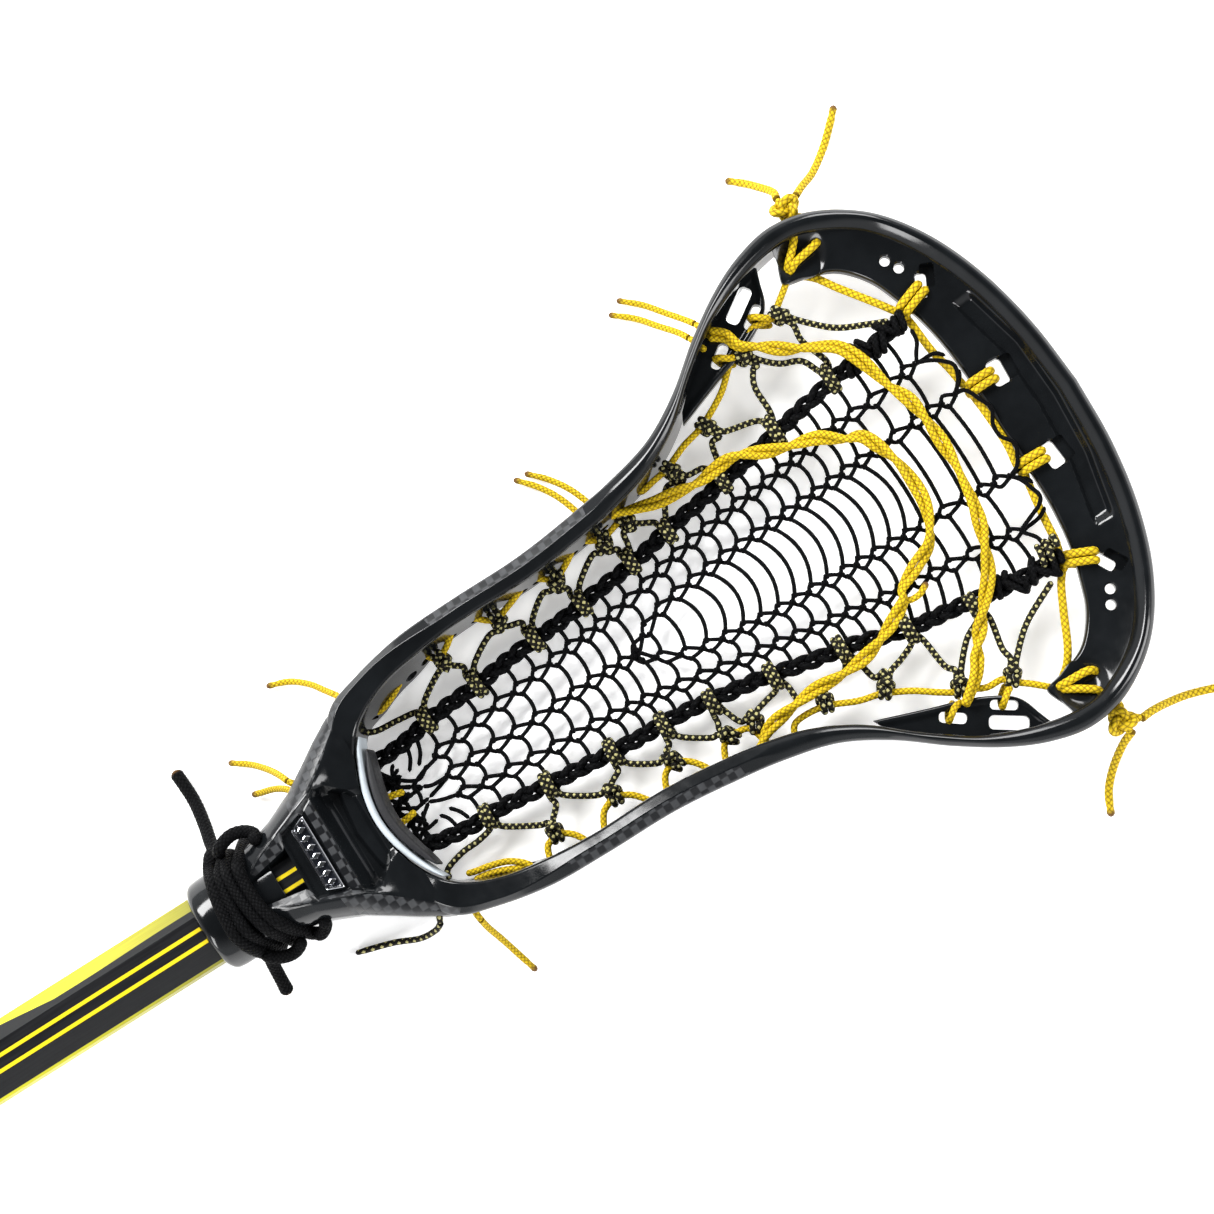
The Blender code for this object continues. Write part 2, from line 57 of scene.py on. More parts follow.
# The scoop panel's two edges, and the struts' inner edge.
LIP = [
    (200.3, 74.5), (209.6, 72.3), (216.8, 68.7), (223.2, 60.8), (226.9, 51.4), (229.7, 42),
    (231.6, 29.4), (232.2, 14), (232, 0),
]
BEAD = [
    (203, 87.5), (209, 88.6), (219, 85.2), (229, 78.6), (239, 66.4), (246, 51.4), (251, 34), (254, 16),
    (254.4, 0),
]
STRUT = [
    (150, 54.6), (167.4, 60.8), (178.3, 64.4), (187.6, 69.1), (192.2, 73.4), (194.6, 80), (196.6, 85.7),
]
# Plan outline of the throat: x and half width.
FLARE = [
    (-50, 12.8), (-42, 13.4), (-33, 14.8), (-24, 17.4), (-14, 21.8), (-6, 27), (0, 31.2), (7, 35.4),
    (14, 38.6),
    (20, 40.8),
]
# Diameters.
TOP_CORD, SIDE_CORD, CROSS_CORD, STRAND_CORD, NET_CORD = 2.6, 2.1, 2.0, 2.3, 1.35
NECK_CORD, RAIL_CORD = 4.0, 2.2

# Plan lines of the two rails.
LEFT_RAIL = [
    (9, 17.3), (20, 18.2), (30, 19.6), (40, 20.6), (60, 22.4), (80, 24.1), (100, 26), (110, 27.2),
    (120, 28.9), (130, 30.8), (140, 32.5), (150, 34), (160, 35.3), (170, 37.2), (180, 39), (190, 40.4),
    (200, 42.2), (210, 43.2), (222, 44.5),
]
RIGHT_RAIL = [
    (9, -13), (20, -14.5), (30, -15.5), (40, -15.9), (50, -16.7), (60, -17.9), (70, -19), (80, -19.6),
    (90, -20.2), (100, -20.9), (110, -21.8), (120, -23.4), (130, -25.2), (140, -27.4), (150, -29.5),
    (160, -32), (170, -34.8), (180, -37.2), (190, -39), (200, -40.4), (210, -42), (222, -43.6),
]
# Nodes of the net's knotted chains along the pocket, and each chain's line.
NODES = [
    28.5, 36, 44, 52, 60, 67.3, 74.3, 81, 87.2, 92.6, 98, 104, 111, 118, 124.7, 131, 137, 143.3, 149.3,
    155.3, 161, 166.8, 172.3, 177.8, 183.5, 189, 194.5, 201.5, 209.5, 215.3, 220.5, 226,
]
CHAIN_LEFT = [
    (25, 9), (44, 11.5), (60, 13), (80, 15.3), (97, 16.9), (111, 19), (125, 22.3), (137, 24), (154, 25.6),
    (171, 27), (190, 29), (202, 28.9), (221, 31.3),
]
CHAIN_MIDDLE = [(26, 2), (60, 2), (87, 2.8), (98, 2.4)]
CHAIN_UPPER = [
    (98, 2.4), (104, 6.5), (111, 10), (118, 11.8), (131, 13), (143, 14.1), (161, 14.5), (178, 15),
    (190, 15.5), (226, 16.5),
]
CHAIN_LOWER = [
    (98, 2.4), (104, -1.5), (111, -5), (118, -7), (131, -8.6), (143, -9.8), (161, -10.4), (178, -11.3),
    (195, -12), (209, -12.1), (226, -14),
]
CHAIN_RIGHT = [
    (27, -4.5), (36, -6.5), (44, -7.2), (60, -8.5), (74, -9), (87, -10.5), (97, -11.6), (111, -14),
    (125, -16.6), (136, -18.2), (148, -20.2), (159, -21.8), (171, -24), (187, -26), (205, -28), (221, -30),
]

STITCHES = 4            # stitches round a plain cord
BRAID_STEP = 0.34       # spacing of a braided cord's rings
NET_STEP = 0.72         # spacing of a net thread's rings
NET_PITCH = 0.95        # length of one stitch of the net's thread
NET_SIDES = 8
CHAIN_HALF = 1.85       # from a chain's line to where its rungs start
LOOSE_THREADS = 34      # short threads in the bunch at the throat
NECK_SIDES = 40
NECK_BRAID = 0.17       # depth of the neck cord's stitches, as a share of its radius
TRACER_PITCH = 1.05
RAIL_PITCH = 17.0       # length in which a rail's strands repeat
TIP_MELT = 3.0          # length of a yellow end browned by the melting

rng = np.random.default_rng(7)


def place(points):
    return (np.asarray(points, float) + [HEAD_X, 0, AXIS_Z]) * 0.001


# --- curves ---------------------------------------------------------------------------------

def smooth_curve(points, per_span, closed=False):
    """Catmull-Rom points through the given ones."""
    pts = np.array(points, float)
    if closed:
        ends = np.vstack([pts[-1], pts, pts[0], pts[1]])
    else:
        ends = np.vstack([2 * pts[0] - pts[1], pts, 2 * pts[-1] - pts[-2]])
    t = (np.arange(per_span) / per_span)[:, None]
    out = []
    for i in range(1, len(ends) - 2):
        a, b, c, d = ends[i - 1:i + 3]
        out.append(0.5 * (2 * b + (c - a) * t + (2 * a - 5 * b + 4 * c - d) * t * t
                          + (3 * b - a - 3 * c + d) * t ** 3))
    if not closed:
        out.append(pts[-1:])
    return np.vstack(out)


def travel(line):
    """Distance along a line at each of its points."""
    return np.concatenate([[0], np.cumsum(np.linalg.norm(np.diff(line, axis=0), axis=1))])


def run_length(line):
    return float(travel(line)[-1])


def even(points, step):
    """The line again with points an even step apart."""
    points = np.asarray(points, float)
    run = travel(points)
    marks = np.linspace(0, run[-1], max(3, int(round(run[-1] / step)) + 1))
    return np.column_stack([np.interp(marks, run, points[:, k]) for k in range(points.shape[1])])


def route(points, step):
    """Smooth line through the given points."""
    return even(smooth_curve(points, 12), step)


def mirrored(points, sign):
    return [(x, sign * y, z) for x, y, z in points]


def circle(sides):
    return 2 * math.pi * np.arange(sides) / sides


def corner_curve(start, here, end, per):
    """Short curve from start to end that rounds the corner here."""
    return [(1 - t) ** 2 * start + 2 * t * (1 - t) * here + t * t * end for t in np.linspace(0, 1, per)]


def along(table, x):
    """Value at x of a table of pairs."""
    xs, ys = zip(*table)
    return float(np.interp(x, xs, ys))


def ramp(x, low, high):
    """Soft step from 0 at low to 1 at high."""
    t = np.clip((np.asarray(x, float) - low) / (high - low), 0, 1)
    return t * t * (3 - 2 * t)


def frames(line):
    """Tangents and two normals carried along a line without twist."""
    tangent = np.gradient(line, axis=0)
    tangent /= np.linalg.norm(tangent, axis=1)[:, None]
    side = np.zeros_like(line)
    start = np.array([0, 0, 1.0]) if abs(tangent[0][2]) < 0.9 else np.array([1.0, 0, 0])
    n = start - tangent[0] * (start @ tangent[0])
    for i, t in enumerate(tangent):
        n = n - t * (n @ t)
        n /= np.linalg.norm(n)
        side[i] = n
    return tangent, side, np.cross(tangent, side)


def level_frame(line, unit=False):
    """Sideways and upward directions of a line that runs nearly level."""
    tangent = frames(line)[0]
    sideways = np.column_stack([-tangent[:, 1], tangent[:, 0], np.zeros(len(line))])
    if unit:
        sideways /= np.linalg.norm(sideways, axis=1)[:, None]
    return sideways, np.cross(tangent, sideways)


def shifted(line, directions, across, rise):
    """The line moved aside and up by amounts that change along it."""
    sideways, upward = directions
    return line + sideways * across[:, None] + upward * rise[:, None]


# --- meshes ---------------------------------------------------------------------------------

class Skin:
    """Gathers ringed skins into one mesh, with UVs and a burn value for melted tips."""

    def __init__(self):
        self.verts, self.quads, self.uvs, self.caps, self.burns, self.slots = [], [], [], [], [], []
        self.count = 0

    def rings(self, rings, u, closed=False, around=True, burn=None, slots=None, repeat=1):
        rings = np.asarray(rings, float)
        m, n = rings.shape[:2]
        i = np.arange(m if closed else m - 1)[:, None]
        k = np.arange(n if around else n - 1)[None, :]
        j, l = (i + 1) % m, (k + 1) % n
        a, b, c, d = i * n + k, i * n + l, j * n + l, j * n + k
        quads = np.stack(np.broadcast_arrays(a, b, c, d), -1).reshape(-1, 4) + self.count
        u = np.append(u, u[-1] + (u[-1] - u[-2])) if closed else u
        v0, v1 = k / n * repeat, (k + 1) / n * repeat
        ua, ub = u[:-1][:, None] if closed else u[i], u[1:][:, None] if closed else u[i + 1]
        pairs = [(ua, v0), (ua, v1), (ub, v1), (ub, v0)]
        uv = np.stack([np.stack(np.broadcast_arrays(p, q), -1) for p, q in pairs], 2).reshape(-1, 2)
        self.verts.append(rings.reshape(-1, 3))
        self.quads.append(quads)
        self.uvs.append(uv)
        self.burns.append(np.zeros(m * n) if burn is None else np.repeat(burn, n))
        self.slots.append(np.zeros(len(quads), int) if slots is None else np.asarray(slots).reshape(-1))
        if not closed and around:
            self.caps.append(list(range(self.count + n - 1, self.count - 1, -1)))
            self.caps.append(list(range(self.count + (m - 1) * n, self.count + m * n)))
        self.count += m * n

    def tube(self, line, radius, sides=20, pitch=None, braid=0.11, ends=(True, True), burn=0.0, plait=1):
        """Braided cord on a line; plait times four stitches go round it, ends says which tips are rounded."""
        line = np.asarray(line, float)
        if isinstance(radius, (int, float)):
            radius = np.full(len(line), float(radius))
        run = travel(line)
        full = radius.copy()
        for tip, is_round in zip((0, -1), ends):
            if is_round:
                far = np.abs(run - run[tip]) / full
                radius = radius * np.sqrt(np.clip(1 - (1 - np.clip(far, 0.02, 1)) ** 2, 0.03, 1))
        tangent, side, up = frames(line)
        k = np.arange(sides) / sides
        turn = 2 * math.pi * k
        pitch = pitch or 2.0 * math.pi * float(np.median(radius)) / (STITCHES * plait)
        u = run / pitch
        swell = 1.0
        if braid:
            v = STITCHES * plait * k
            a, b = np.abs(np.sin(math.pi * (u[:, None] + v))), np.abs(np.sin(math.pi * (u[:, None] - v)))
            over = (np.floor(u[:, None] + v) + np.floor(u[:, None] - v)) % 2
            swell = 1 - braid * 0.6 + braid * np.where(over > 0.5, a, b) ** 0.7
        r = radius[:, None] * swell
        rings = (line[:, None] + side[:, None] * (r * np.cos(turn))[..., None]
                 + up[:, None] * (r * np.sin(turn))[..., None])
        heat = None
        if burn:
            heat = np.clip((run - run[-1] + burn) / burn, 0, 1)
        self.rings(rings, u, burn=heat, repeat=plait)

    def mesh(self, name, materials):
        mesh = bpy.data.meshes.new(name)
        quads = np.vstack(self.quads)
        mesh.from_pydata(place(np.vstack(self.verts)).tolist(), [], quads.tolist() + self.caps)
        for material in materials:
            mesh.materials.append(material)
        which = np.zeros(len(mesh.polygons), int)
        which[:len(quads)] = np.concatenate(self.slots)
        mesh.polygons.foreach_set("material_index", which)
        return mesh

    def build(self, name, materials, slot, node, body="stick", sharp=None):
        """Finished piece that shows in place of one of the frame's nodes."""
        mesh = self.mesh(name, materials)
        layer = mesh.uv_layers.new(name="cord")
        uv = np.vstack(self.uvs)
        padded = np.zeros((len(mesh.loops), 2))
        padded[:len(uv)] = uv
        layer.data.foreach_set("uv", padded.ravel())
        burn = mesh.attributes.new("burn", "FLOAT", "POINT")
        burn.data.foreach_set("value", np.concatenate(self.burns).astype(np.float32))
        soften(mesh, sharp)
        item = link(name, mesh)
        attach(item, body)
        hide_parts(node)
        return item


def link(name, data):
    item = bpy.data.objects.new(name, data)
    bpy.context.scene.collection.objects.link(item)
    return item


def soften(mesh, sharp=None):
    """Smooth shading, with edges kept sharp above an angle in degrees."""
    mesh.update()
    mesh.validate()
    mesh.shade_smooth()
    if sharp:
        mesh.set_sharp_from_angle(angle=math.radians(sharp))


def fix_normals(mesh):
    bm = bmesh.new()
    bm.from_mesh(mesh)
    bmesh.ops.recalc_face_normals(bm, faces=bm.faces)
    bm.to_mesh(mesh)
    bm.free()
    mesh.update()


def loft(rings, closed=False, slots=None):
    """Skin through a list of rings."""
    skin = Skin()
    skin.rings(np.array(rings), np.arange(len(rings)), closed=closed, slots=slots)
    return skin


def cutter(outlines):
    """One object of upright or sideways prisms, each a list of rings."""
    verts, faces = [], []
    for rings in outlines:
        n, base = len(rings[0]), len(verts)
        for ring in rings:
            verts += [tuple(p) for p in place(ring)]
        for i in range(len(rings) - 1):
            for k in range(n):
                a, b = base + i * n + k, base + i * n + (k + 1) % n
                faces.append((a, b, b + n, a + n))
        faces.append(tuple(range(base + n - 1, base - 1, -1)))
        faces.append(tuple(range(base + (len(rings) - 1) * n, base + len(rings) * n)))
    mesh = bpy.data.meshes.new("cutter")
    mesh.from_pydata(verts, [], faces)
    fix_normals(mesh)
    return link("cutter", mesh)


def carve(target, outlines):
    """Takes the outlines' prisms out of the target. They mustn't touch each other."""
    tool = cutter(outlines)
    step = target.modifiers.new("cut", "BOOLEAN")
    step.operation, step.object, step.solver = "DIFFERENCE", tool, "EXACT"
    depsgraph = bpy.context.evaluated_depsgraph_get()
    done = bpy.data.meshes.new_from_object(target.evaluated_get(depsgraph))
    target.modifiers.clear()
    target.data = done
    bpy.data.objects.remove(tool, do_unlink=True)


def spool(outline, z_low, z_high, flare=0.5):
    """Upright cutter whose two ends widen, which leaves soft edges round a hole."""
    outline = np.array(outline, float)
    centre = outline.mean(0)
    spokes = outline - centre
    grow = 1 + flare / np.linalg.norm(spokes, axis=1).mean()
    rings = []
    for z, big in ((z_low - 3, grow), (z_low, grow), (z_low + flare, 1), (z_high - flare, 1),
                   (z_high, grow), (z_high + 4, grow)):
        rings.append([(x, y, z) for x, y in centre + spokes * big])
    return rings


def rounded_box(x, y, length, width, angle, radius, per=5):
    """Plan outline of a box with round corners, turned by an angle in degrees."""
    turn = math.radians(angle)
    points = []
    for q, (sx, sy) in enumerate(((1, 1), (-1, 1), (-1, -1), (1, -1))):
        for k in range(per):
            a = math.pi / 2 * (q + k / (per - 1))
            u = sx * (length / 2 - radius) + radius * math.cos(a)
            v = sy * (width / 2 - radius) + radius * math.sin(a)
            points.append((x + u * math.cos(turn) - v * math.sin(turn),
                           y + u * math.sin(turn) + v * math.cos(turn)))
    return points


def disc(x, y, radius, sides=20):
    return [(x + radius * math.cos(t), y + radius * math.sin(t)) for t in circle(sides)]


# --- materials ------------------------------------------------------------------------------

def rgba(colour, share=1.0):
    return (*[c * share for c in colour], 1)


class Nodes:
    """Short writer of shader trees."""

    def __init__(self, name, **sockets):
        self.material = bpy.data.materials.new(name)
        self.material.use_nodes = True
        self.tree = self.material.node_tree
        self.shader = self.tree.nodes["Principled BSDF"]
        for socket, value in sockets.items():
            self.shader.inputs[socket.replace("_", " ")].default_value = value

    def add(self, kind, inputs=None, **settings):
        node = self.tree.nodes.new("ShaderNode" + kind)
        for key, value in settings.items():
            setattr(node, key, value)
        for key, value in (inputs or {}).items():
            self.feed(node.inputs[key], value)
        return node

    def feed(self, socket, value):
        if isinstance(value, bpy.types.NodeSocket):
            self.tree.links.new(value, socket)
        else:
            socket.default_value = value

    def math(self, operation, a, b=0.0, c=None):
        inputs = {0: a, 1: b}
        if c is not None:
            inputs[2] = c
        return self.add("Math", inputs, operation=operation).outputs[0]

    def sine(self, value, rate):
        return self.math("SINE", self.math("MULTIPLY", value, rate))

    def weighed(self, kind, sockets, output, values):
        node = self.add("Mix", data_type=kind)
        for key, value in zip(sockets, values):
            self.feed(node.inputs[key], value)
        return node.outputs[output]

    def mix(self, *factor_and_colours):
        return self.weighed("RGBA", (0, 6, 7), 2, factor_and_colours)

    def blend(self, *factor_and_numbers):
        return self.weighed("FLOAT", (0, 2, 3), 0, factor_and_numbers)

    def here(self, stretch=None):
        """Place on the piece, squeezed by a factor along each axis."""
        spot = self.add("TexCoord").outputs["Object"]
        return spot if stretch is None else self.add("Mapping", {0: spot, 3: stretch}).outputs[0]

    def span(self, value, low, high, to_low=0.0, to_high=1.0):
        node = self.add("MapRange", {"Value": value, "From Min": low, "From Max": high,
                                     "To Min": to_low, "To Max": to_high})
        return node.outputs[0]

    def noise(self, scale, detail=3.0, vector=None, roughness=0.55):
        node = self.add("TexNoise", {"Scale": scale, "Detail": detail, "Roughness": roughness})
        self.feed(node.inputs["Vector"], self.here() if vector is None else vector)
        return node.outputs["Fac"]

    def bump(self, height, strength, distance, under=None):
        node = self.add("Bump", {"Height": height, "Strength": strength, "Distance": distance})
        if under is not None:
            self.feed(node.inputs["Normal"], under)
        return node.outputs[0]

    def done(self, **links):
        for socket, value in links.items():
            self.feed(self.shader.inputs[socket.replace("_", " ")], value)
        return self.material


def gloss_plastic(name, colour, roughness, coat=0.0):
    """Moulded nylon: faint flow ripple, fine scuffs and uneven gloss."""
    n = Nodes(name, Coat_Weight=coat, Coat_Roughness=0.04, IOR=1.43)
    ripple = n.noise(90, 2)
    scuff = n.noise(900, 5, roughness=0.7)
    rough = n.span(n.noise(240, 4), 0.3, 0.75, roughness * 0.75, roughness * 1.45)
    tint = n.mix(n.span(n.noise(60, 3), 0.35, 0.7), rgba(colour, 0.8), rgba(colour, 1.35))
    low = n.bump(ripple, 0.12, 0.0006)
    return n.done(Base_Color=tint, Roughness=rough, Normal=n.bump(scuff, 0.08, 0.00006, low))


def carbon_plastic(name, square):
    """Woven-pattern film: small squares, each with its threads running one of two ways."""
    n = Nodes(name, Coat_Weight=0.1, Coat_Roughness=0.12, IOR=1.43)
    axes = n.add("SeparateXYZ", {0: n.here()})
    u, v = (n.math("DIVIDE", axis, square) for axis in axes.outputs[:2])
    parity = n.math("MODULO", n.math("ADD", n.math("FLOOR", u), n.math("FLOOR", v)), 2.0)
    parity = n.math("ABSOLUTE", parity)
    edges = [n.math("ABSOLUTE", n.math("SUBTRACT", n.math("FRACT", axis), 0.5)) for axis in (u, v)]
    edge = n.span(n.math("MAXIMUM", *edges), 0.38, 0.5)
    threads = n.math("ADD", n.math("MULTIPLY", n.sine(u, 38.0), parity),
                     n.math("MULTIPLY", n.sine(v, 38.0), n.math("SUBTRACT", 1.0, parity)))
    cells = n.add("TexVoronoi", {"Vector": n.here(), "Scale": 420.0}).outputs["Distance"]
    light = n.math("MULTIPLY", parity, n.span(cells, 0.1, 0.6, 1.15, 0.7))
    colour = n.mix(light, (0.005, 0.0055, 0.0065, 1), (0.034, 0.036, 0.039, 1))
    colour = n.mix(n.math("MULTIPLY", edge, 0.5), colour, (0.004, 0.004, 0.005, 1))
    rough = n.span(parity, 0, 1, 0.28, 0.5)
    height = n.math("ADD", n.math("MULTIPLY", threads, 0.25), n.math("MULTIPLY", edge, -0.8))
    return n.done(Base_Color=colour, Roughness=rough, Normal=n.bump(height, 0.35, 0.00008))


BURNT_BROWN, BURNT_BLACK = (0.13, 0.062, 0.014), (0.012, 0.01, 0.008)


def cord_material(name, base, dark, fleck=None, roughness=0.55, sheen=0.15, depth=0.00022, shine=0.4):
    """Round braid drawn on the tube's UVs: stitches of two thread families crossing, with painted shade in the
    gaps between the stitches.
    """
    n = Nodes(name, Sheen_Weight=sheen, Sheen_Roughness=0.4, Specular_IOR_Level=shine)
    u, v, _ = n.add("SeparateXYZ", {0: n.add("UVMap", uv_map="cord").outputs[0]}).outputs
    around = n.math("MULTIPLY", v, float(STITCHES))
    families = n.math("ADD", u, around), n.math("SUBTRACT", u, around)
    odd_a, odd_b = (n.math("PINGPONG", n.math("FLOOR", t), 1.0) for t in families)
    over = n.math("ABSOLUTE", n.math("SUBTRACT", odd_a, odd_b))
    hills = [n.math("ABSOLUTE", n.sine(t, math.pi)) for t in families]
    pillow = n.math("MULTIPLY", n.math("POWER", n.blend(over, *hills), 0.6),
                    n.math("POWER", n.math("MULTIPLY", *hills), 0.25))
    fibre = n.blend(over, *(n.sine(t, 34.0) for t in families))
    fuzz = n.noise(1500, 4, roughness=0.7)
    # Painted shade: where the stitches dip, in the gaps between them, the colour goes over to the dark one.
    stitch_gap_shade = n.span(n.math("ADD", n.math("MULTIPLY", pillow, 0.85), n.math("MULTIPLY", fuzz, 0.3)), 0.15, 0.95)
    colour = n.mix(stitch_gap_shade, rgba(dark), rgba(base))
    if fleck:
        both = n.math("MULTIPLY", n.math("SUBTRACT", 1.0, odd_a), n.math("SUBTRACT", 1.0, odd_b))
        spot = n.math("MULTIPLY", both, n.span(pillow, 0.08, 0.3))
        colour = n.mix(spot, colour, rgba(fleck))
    slow = n.span(n.noise(35, 2), 0.3, 0.7, 0.0, 0.22)
    colour = n.mix(slow, colour, rgba(dark))
    burn = n.add("Attribute", attribute_name="burn").outputs["Fac"]
    colour = n.mix(n.span(burn, 0.1, 0.7), colour, rgba(BURNT_BLACK if fleck else BURNT_BROWN))
    height = n.math("ADD", pillow, n.math("ADD", n.math("MULTIPLY", fibre, 0.07),
                                          n.math("MULTIPLY", fuzz, 0.12)))
    rough = n.span(pillow, 0, 1, min(roughness + 0.25, 1), roughness)
    return n.done(Base_Color=colour, Roughness=rough, Normal=n.bump(height, 0.8, depth))


def shaft_material():
    """Satin black over gold sides, two thin yellow lines along the upper flat; a painted reflection brightens
    the gold away from the collar.
    """
    n = Nodes("shaft_finish", Specular_IOR_Level=0.2)
    x, y, z = n.add("SeparateXYZ", {0: n.here()}).outputs

    def line(centre, half):
        away = n.math("ABSOLUTE", n.math("SUBTRACT", y, centre))
        return n.span(away, half + 0.00008, half - 0.00008)

    upper = n.math("GREATER_THAN", z, 0.0275)
    stripes = n.math("MULTIPLY", n.math("MAXIMUM", line(0.0006, 0.00058), line(-0.0037, 0.00058)), upper)
    # The gold side bands: the left one narrows in two soft waves towards the grip.
    wave = n.math("MULTIPLY", n.sine(x, 95.0), 0.00022)
    drop = n.span(x, 0.172, 0.150, 0.0, 0.0023)
    border = n.math("ADD", n.math("ADD", 0.0068, drop), wave)
    left = n.span(n.math("SUBTRACT", y, border), -0.00006, 0.00006)
    right = n.span(y, -0.01024, -0.01036)
    band = n.math("MAXIMUM", left, right)
    brush = n.noise(30, 5, n.here((1.5, 60.0, 60.0)), 0.6)
    # Painted reflection: the gold goes from dark olive by the collar to bright yellow farther along the shaft.
    painted_gold_glint = n.span(x, 0.235, 0.165)
    gold = n.mix(painted_gold_glint, (0.19, 0.18, 0.045, 1), (0.66, 0.62, 0.035, 1))
    gold = n.mix(n.span(brush, 0.35, 0.7, 0.0, 0.3), gold, (0.17, 0.155, 0.03, 1))
    black = n.mix(n.span(brush, 0.3, 0.75), (0.0035, 0.0037, 0.0045, 1), (0.0075, 0.008, 0.009, 1))
    colour = n.mix(band, black, gold)
    colour = n.mix(stripes, colour, (0.66, 0.50, 0.010, 1))
    metal = n.math("MULTIPLY", band, 0.55)
    rough = n.span(brush, 0.3, 0.7, 0.32, 0.46)
    return n.done(Base_Color=colour, Roughness=rough, Metallic=metal,
                  Normal=n.bump(brush, 0.1, 0.00004))


def foam_material(name, colour, scale, roughness=0.6):
    """Closed-cell foam: fine pores with painted shade in their pits, slightly uneven tone."""
    n = Nodes(name, IOR=1.45)
    pores = n.add("TexVoronoi", {"Vector": n.here(), "Scale": scale}).outputs["Distance"]
    tone = n.mix(n.span(n.noise(120, 3), 0.35, 0.7), rgba(colour, 0.78), rgba(colour))
    # Painted shade: the pits of the pores are darkened.
    tone = n.mix(n.span(pores, 0.0, 0.25, 0.35, 0.0), tone, rgba(colour, 0.4))
    return n.done(Base_Color=tone, Roughness=n.span(pores, 0, 0.6, roughness + 0.15, roughness),
                  Normal=n.bump(pores, 0.3, 0.00015))


def metal_material(name, colour, roughness):
    """Plated metal with fine scratches one way."""
    n = Nodes(name, Metallic=1.0)
    scratch = n.noise(160, 5, n.here((1.0, 14.0, 1.0)), 0.7)
    tint = n.mix(n.span(scratch, 0.3, 0.7), rgba(colour, 0.85), rgba(colour))
    return n.done(Base_Color=tint, Roughness=n.span(scratch, 0.3, 0.7, roughness, roughness * 2.2),
                  Normal=n.bump(scratch, 0.06, 0.00003))


def rubber_material():
    """Matt rubber with a fine grain."""
    n = Nodes("grip_rubber", IOR=1.5)
    grain = n.noise(2200, 4, roughness=0.7)
    tone = n.mix(n.span(n.noise(90, 4), 0.3, 0.75), (0.013, 0.013, 0.014, 1), (0.032, 0.032, 0.034, 1))
    return n.done(Base_Color=tone, Roughness=n.span(grain, 0.3, 0.7, 0.6, 0.85),
                  Normal=n.bump(grain, 0.35, 0.0001))


BLACK = gloss_plastic("head_nylon", (0.0050, 0.0058, 0.0066), 0.12)
WEAVE = carbon_plastic("woven_film", 0.0024)
FACET = gloss_plastic("grey_facet", (0.030, 0.032, 0.034), 0.30, 0.1)
SHELL_LOOKS = BLACK, WEAVE, FACET
PLAIN, FILM, GREY = range(3)    # places of the shell's looks
CHROME = metal_material("bright_chrome", (0.78, 0.79, 0.82), 0.06)
BADGE = gloss_plastic("badge_black", (0.006, 0.007, 0.010), 0.08, 0.8)
STEEL = metal_material("screw_steel", (0.55, 0.55, 0.57), 0.22)
PALE_FOAM = foam_material("pale_foam", (0.52, 0.57, 0.61), 900.0)
DARK_FOAM = foam_material("dark_foam", (0.012, 0.012, 0.014), 1200.0, 0.5)
# The second colour of each braid is the painted shade of its stitch gaps; it also darkens the cord in a slow
# random mottle.
YELLOW = cord_material("yellow_braid", (0.78, 0.545, 0.006), (0.15, 0.085, 0.001), sheen=0.0, shine=0.22)
TRACER = cord_material("tracer_braid", (0.009, 0.0075, 0.004), (0.002, 0.002, 0.0015), (0.50, 0.46, 0.20),
                       sheen=0.0,
                       shine=0.16)
BLACK_CORD = cord_material("black_braid", (0.0040, 0.0042, 0.0048), (0.0004, 0.0004, 0.0005), sheen=0.0,
                           shine=0.05,
                           roughness=0.4, depth=0.00032)
RUBBER = rubber_material()
SHAFT = shaft_material()


# --- camera, light, floor -------------------------------------------------------------------

CAMERA_AT = (0.39118, -0.07756, 0.78880)
CAMERA_RIGHT = (0.84522, -0.52866, -0.07817)
CAMERA_UP = (0.53422, 0.83971, 0.09746)
CAMERA_BACK = (0.01411, -0.12414, 0.99216)
SENSOR, LENS = 36.0, 74.135
# Name, place, point aimed at, width, height and power of each soft light.
LIGHTS = [
    ("key", (-0.15, 1.15, 1.15), (0.32, 0.0, 0.0), 0.9, 0.6, 44),
    ("fill", (1.35, -0.85, 0.9), (0.38, 0.0, 0.0), 0.5, 1.1, 18),
    ("rim", (-0.85, -0.75, 0.8), (0.30, 0.0, 0.0), 0.35, 0.9, 13),
    ("back", (1.2, 1.1, 0.8), (0.38, 0.0, 0.0), 0.5, 0.8, 15),
]
FLOOR_REACH, FLOOR_DROP = 6.0, 0.0003


def make_camera():
    data = bpy.data.cameras.new("camera")
    data.sensor_width, data.lens, data.clip_start, data.clip_end = SENSOR, LENS, 0.02, 50.0
    item = link("camera", data)
    turn = Matrix((CAMERA_RIGHT, CAMERA_UP, CAMERA_BACK)).transposed().to_4x4()
    turn.translation = CAMERA_AT
    item.matrix_world = turn
    bpy.context.scene.camera = item


def area_light(name, at, toward, width, height, power):
    data = bpy.data.lights.new(name, "AREA")
    data.shape, data.size, data.size_y = "RECTANGLE", width, height
    data.energy = power
    item = link(name, data)
    item.location = at
    item.rotation_euler = (Vector(toward) - Vector(at)).to_track_quat("-Z", "Y").to_euler()


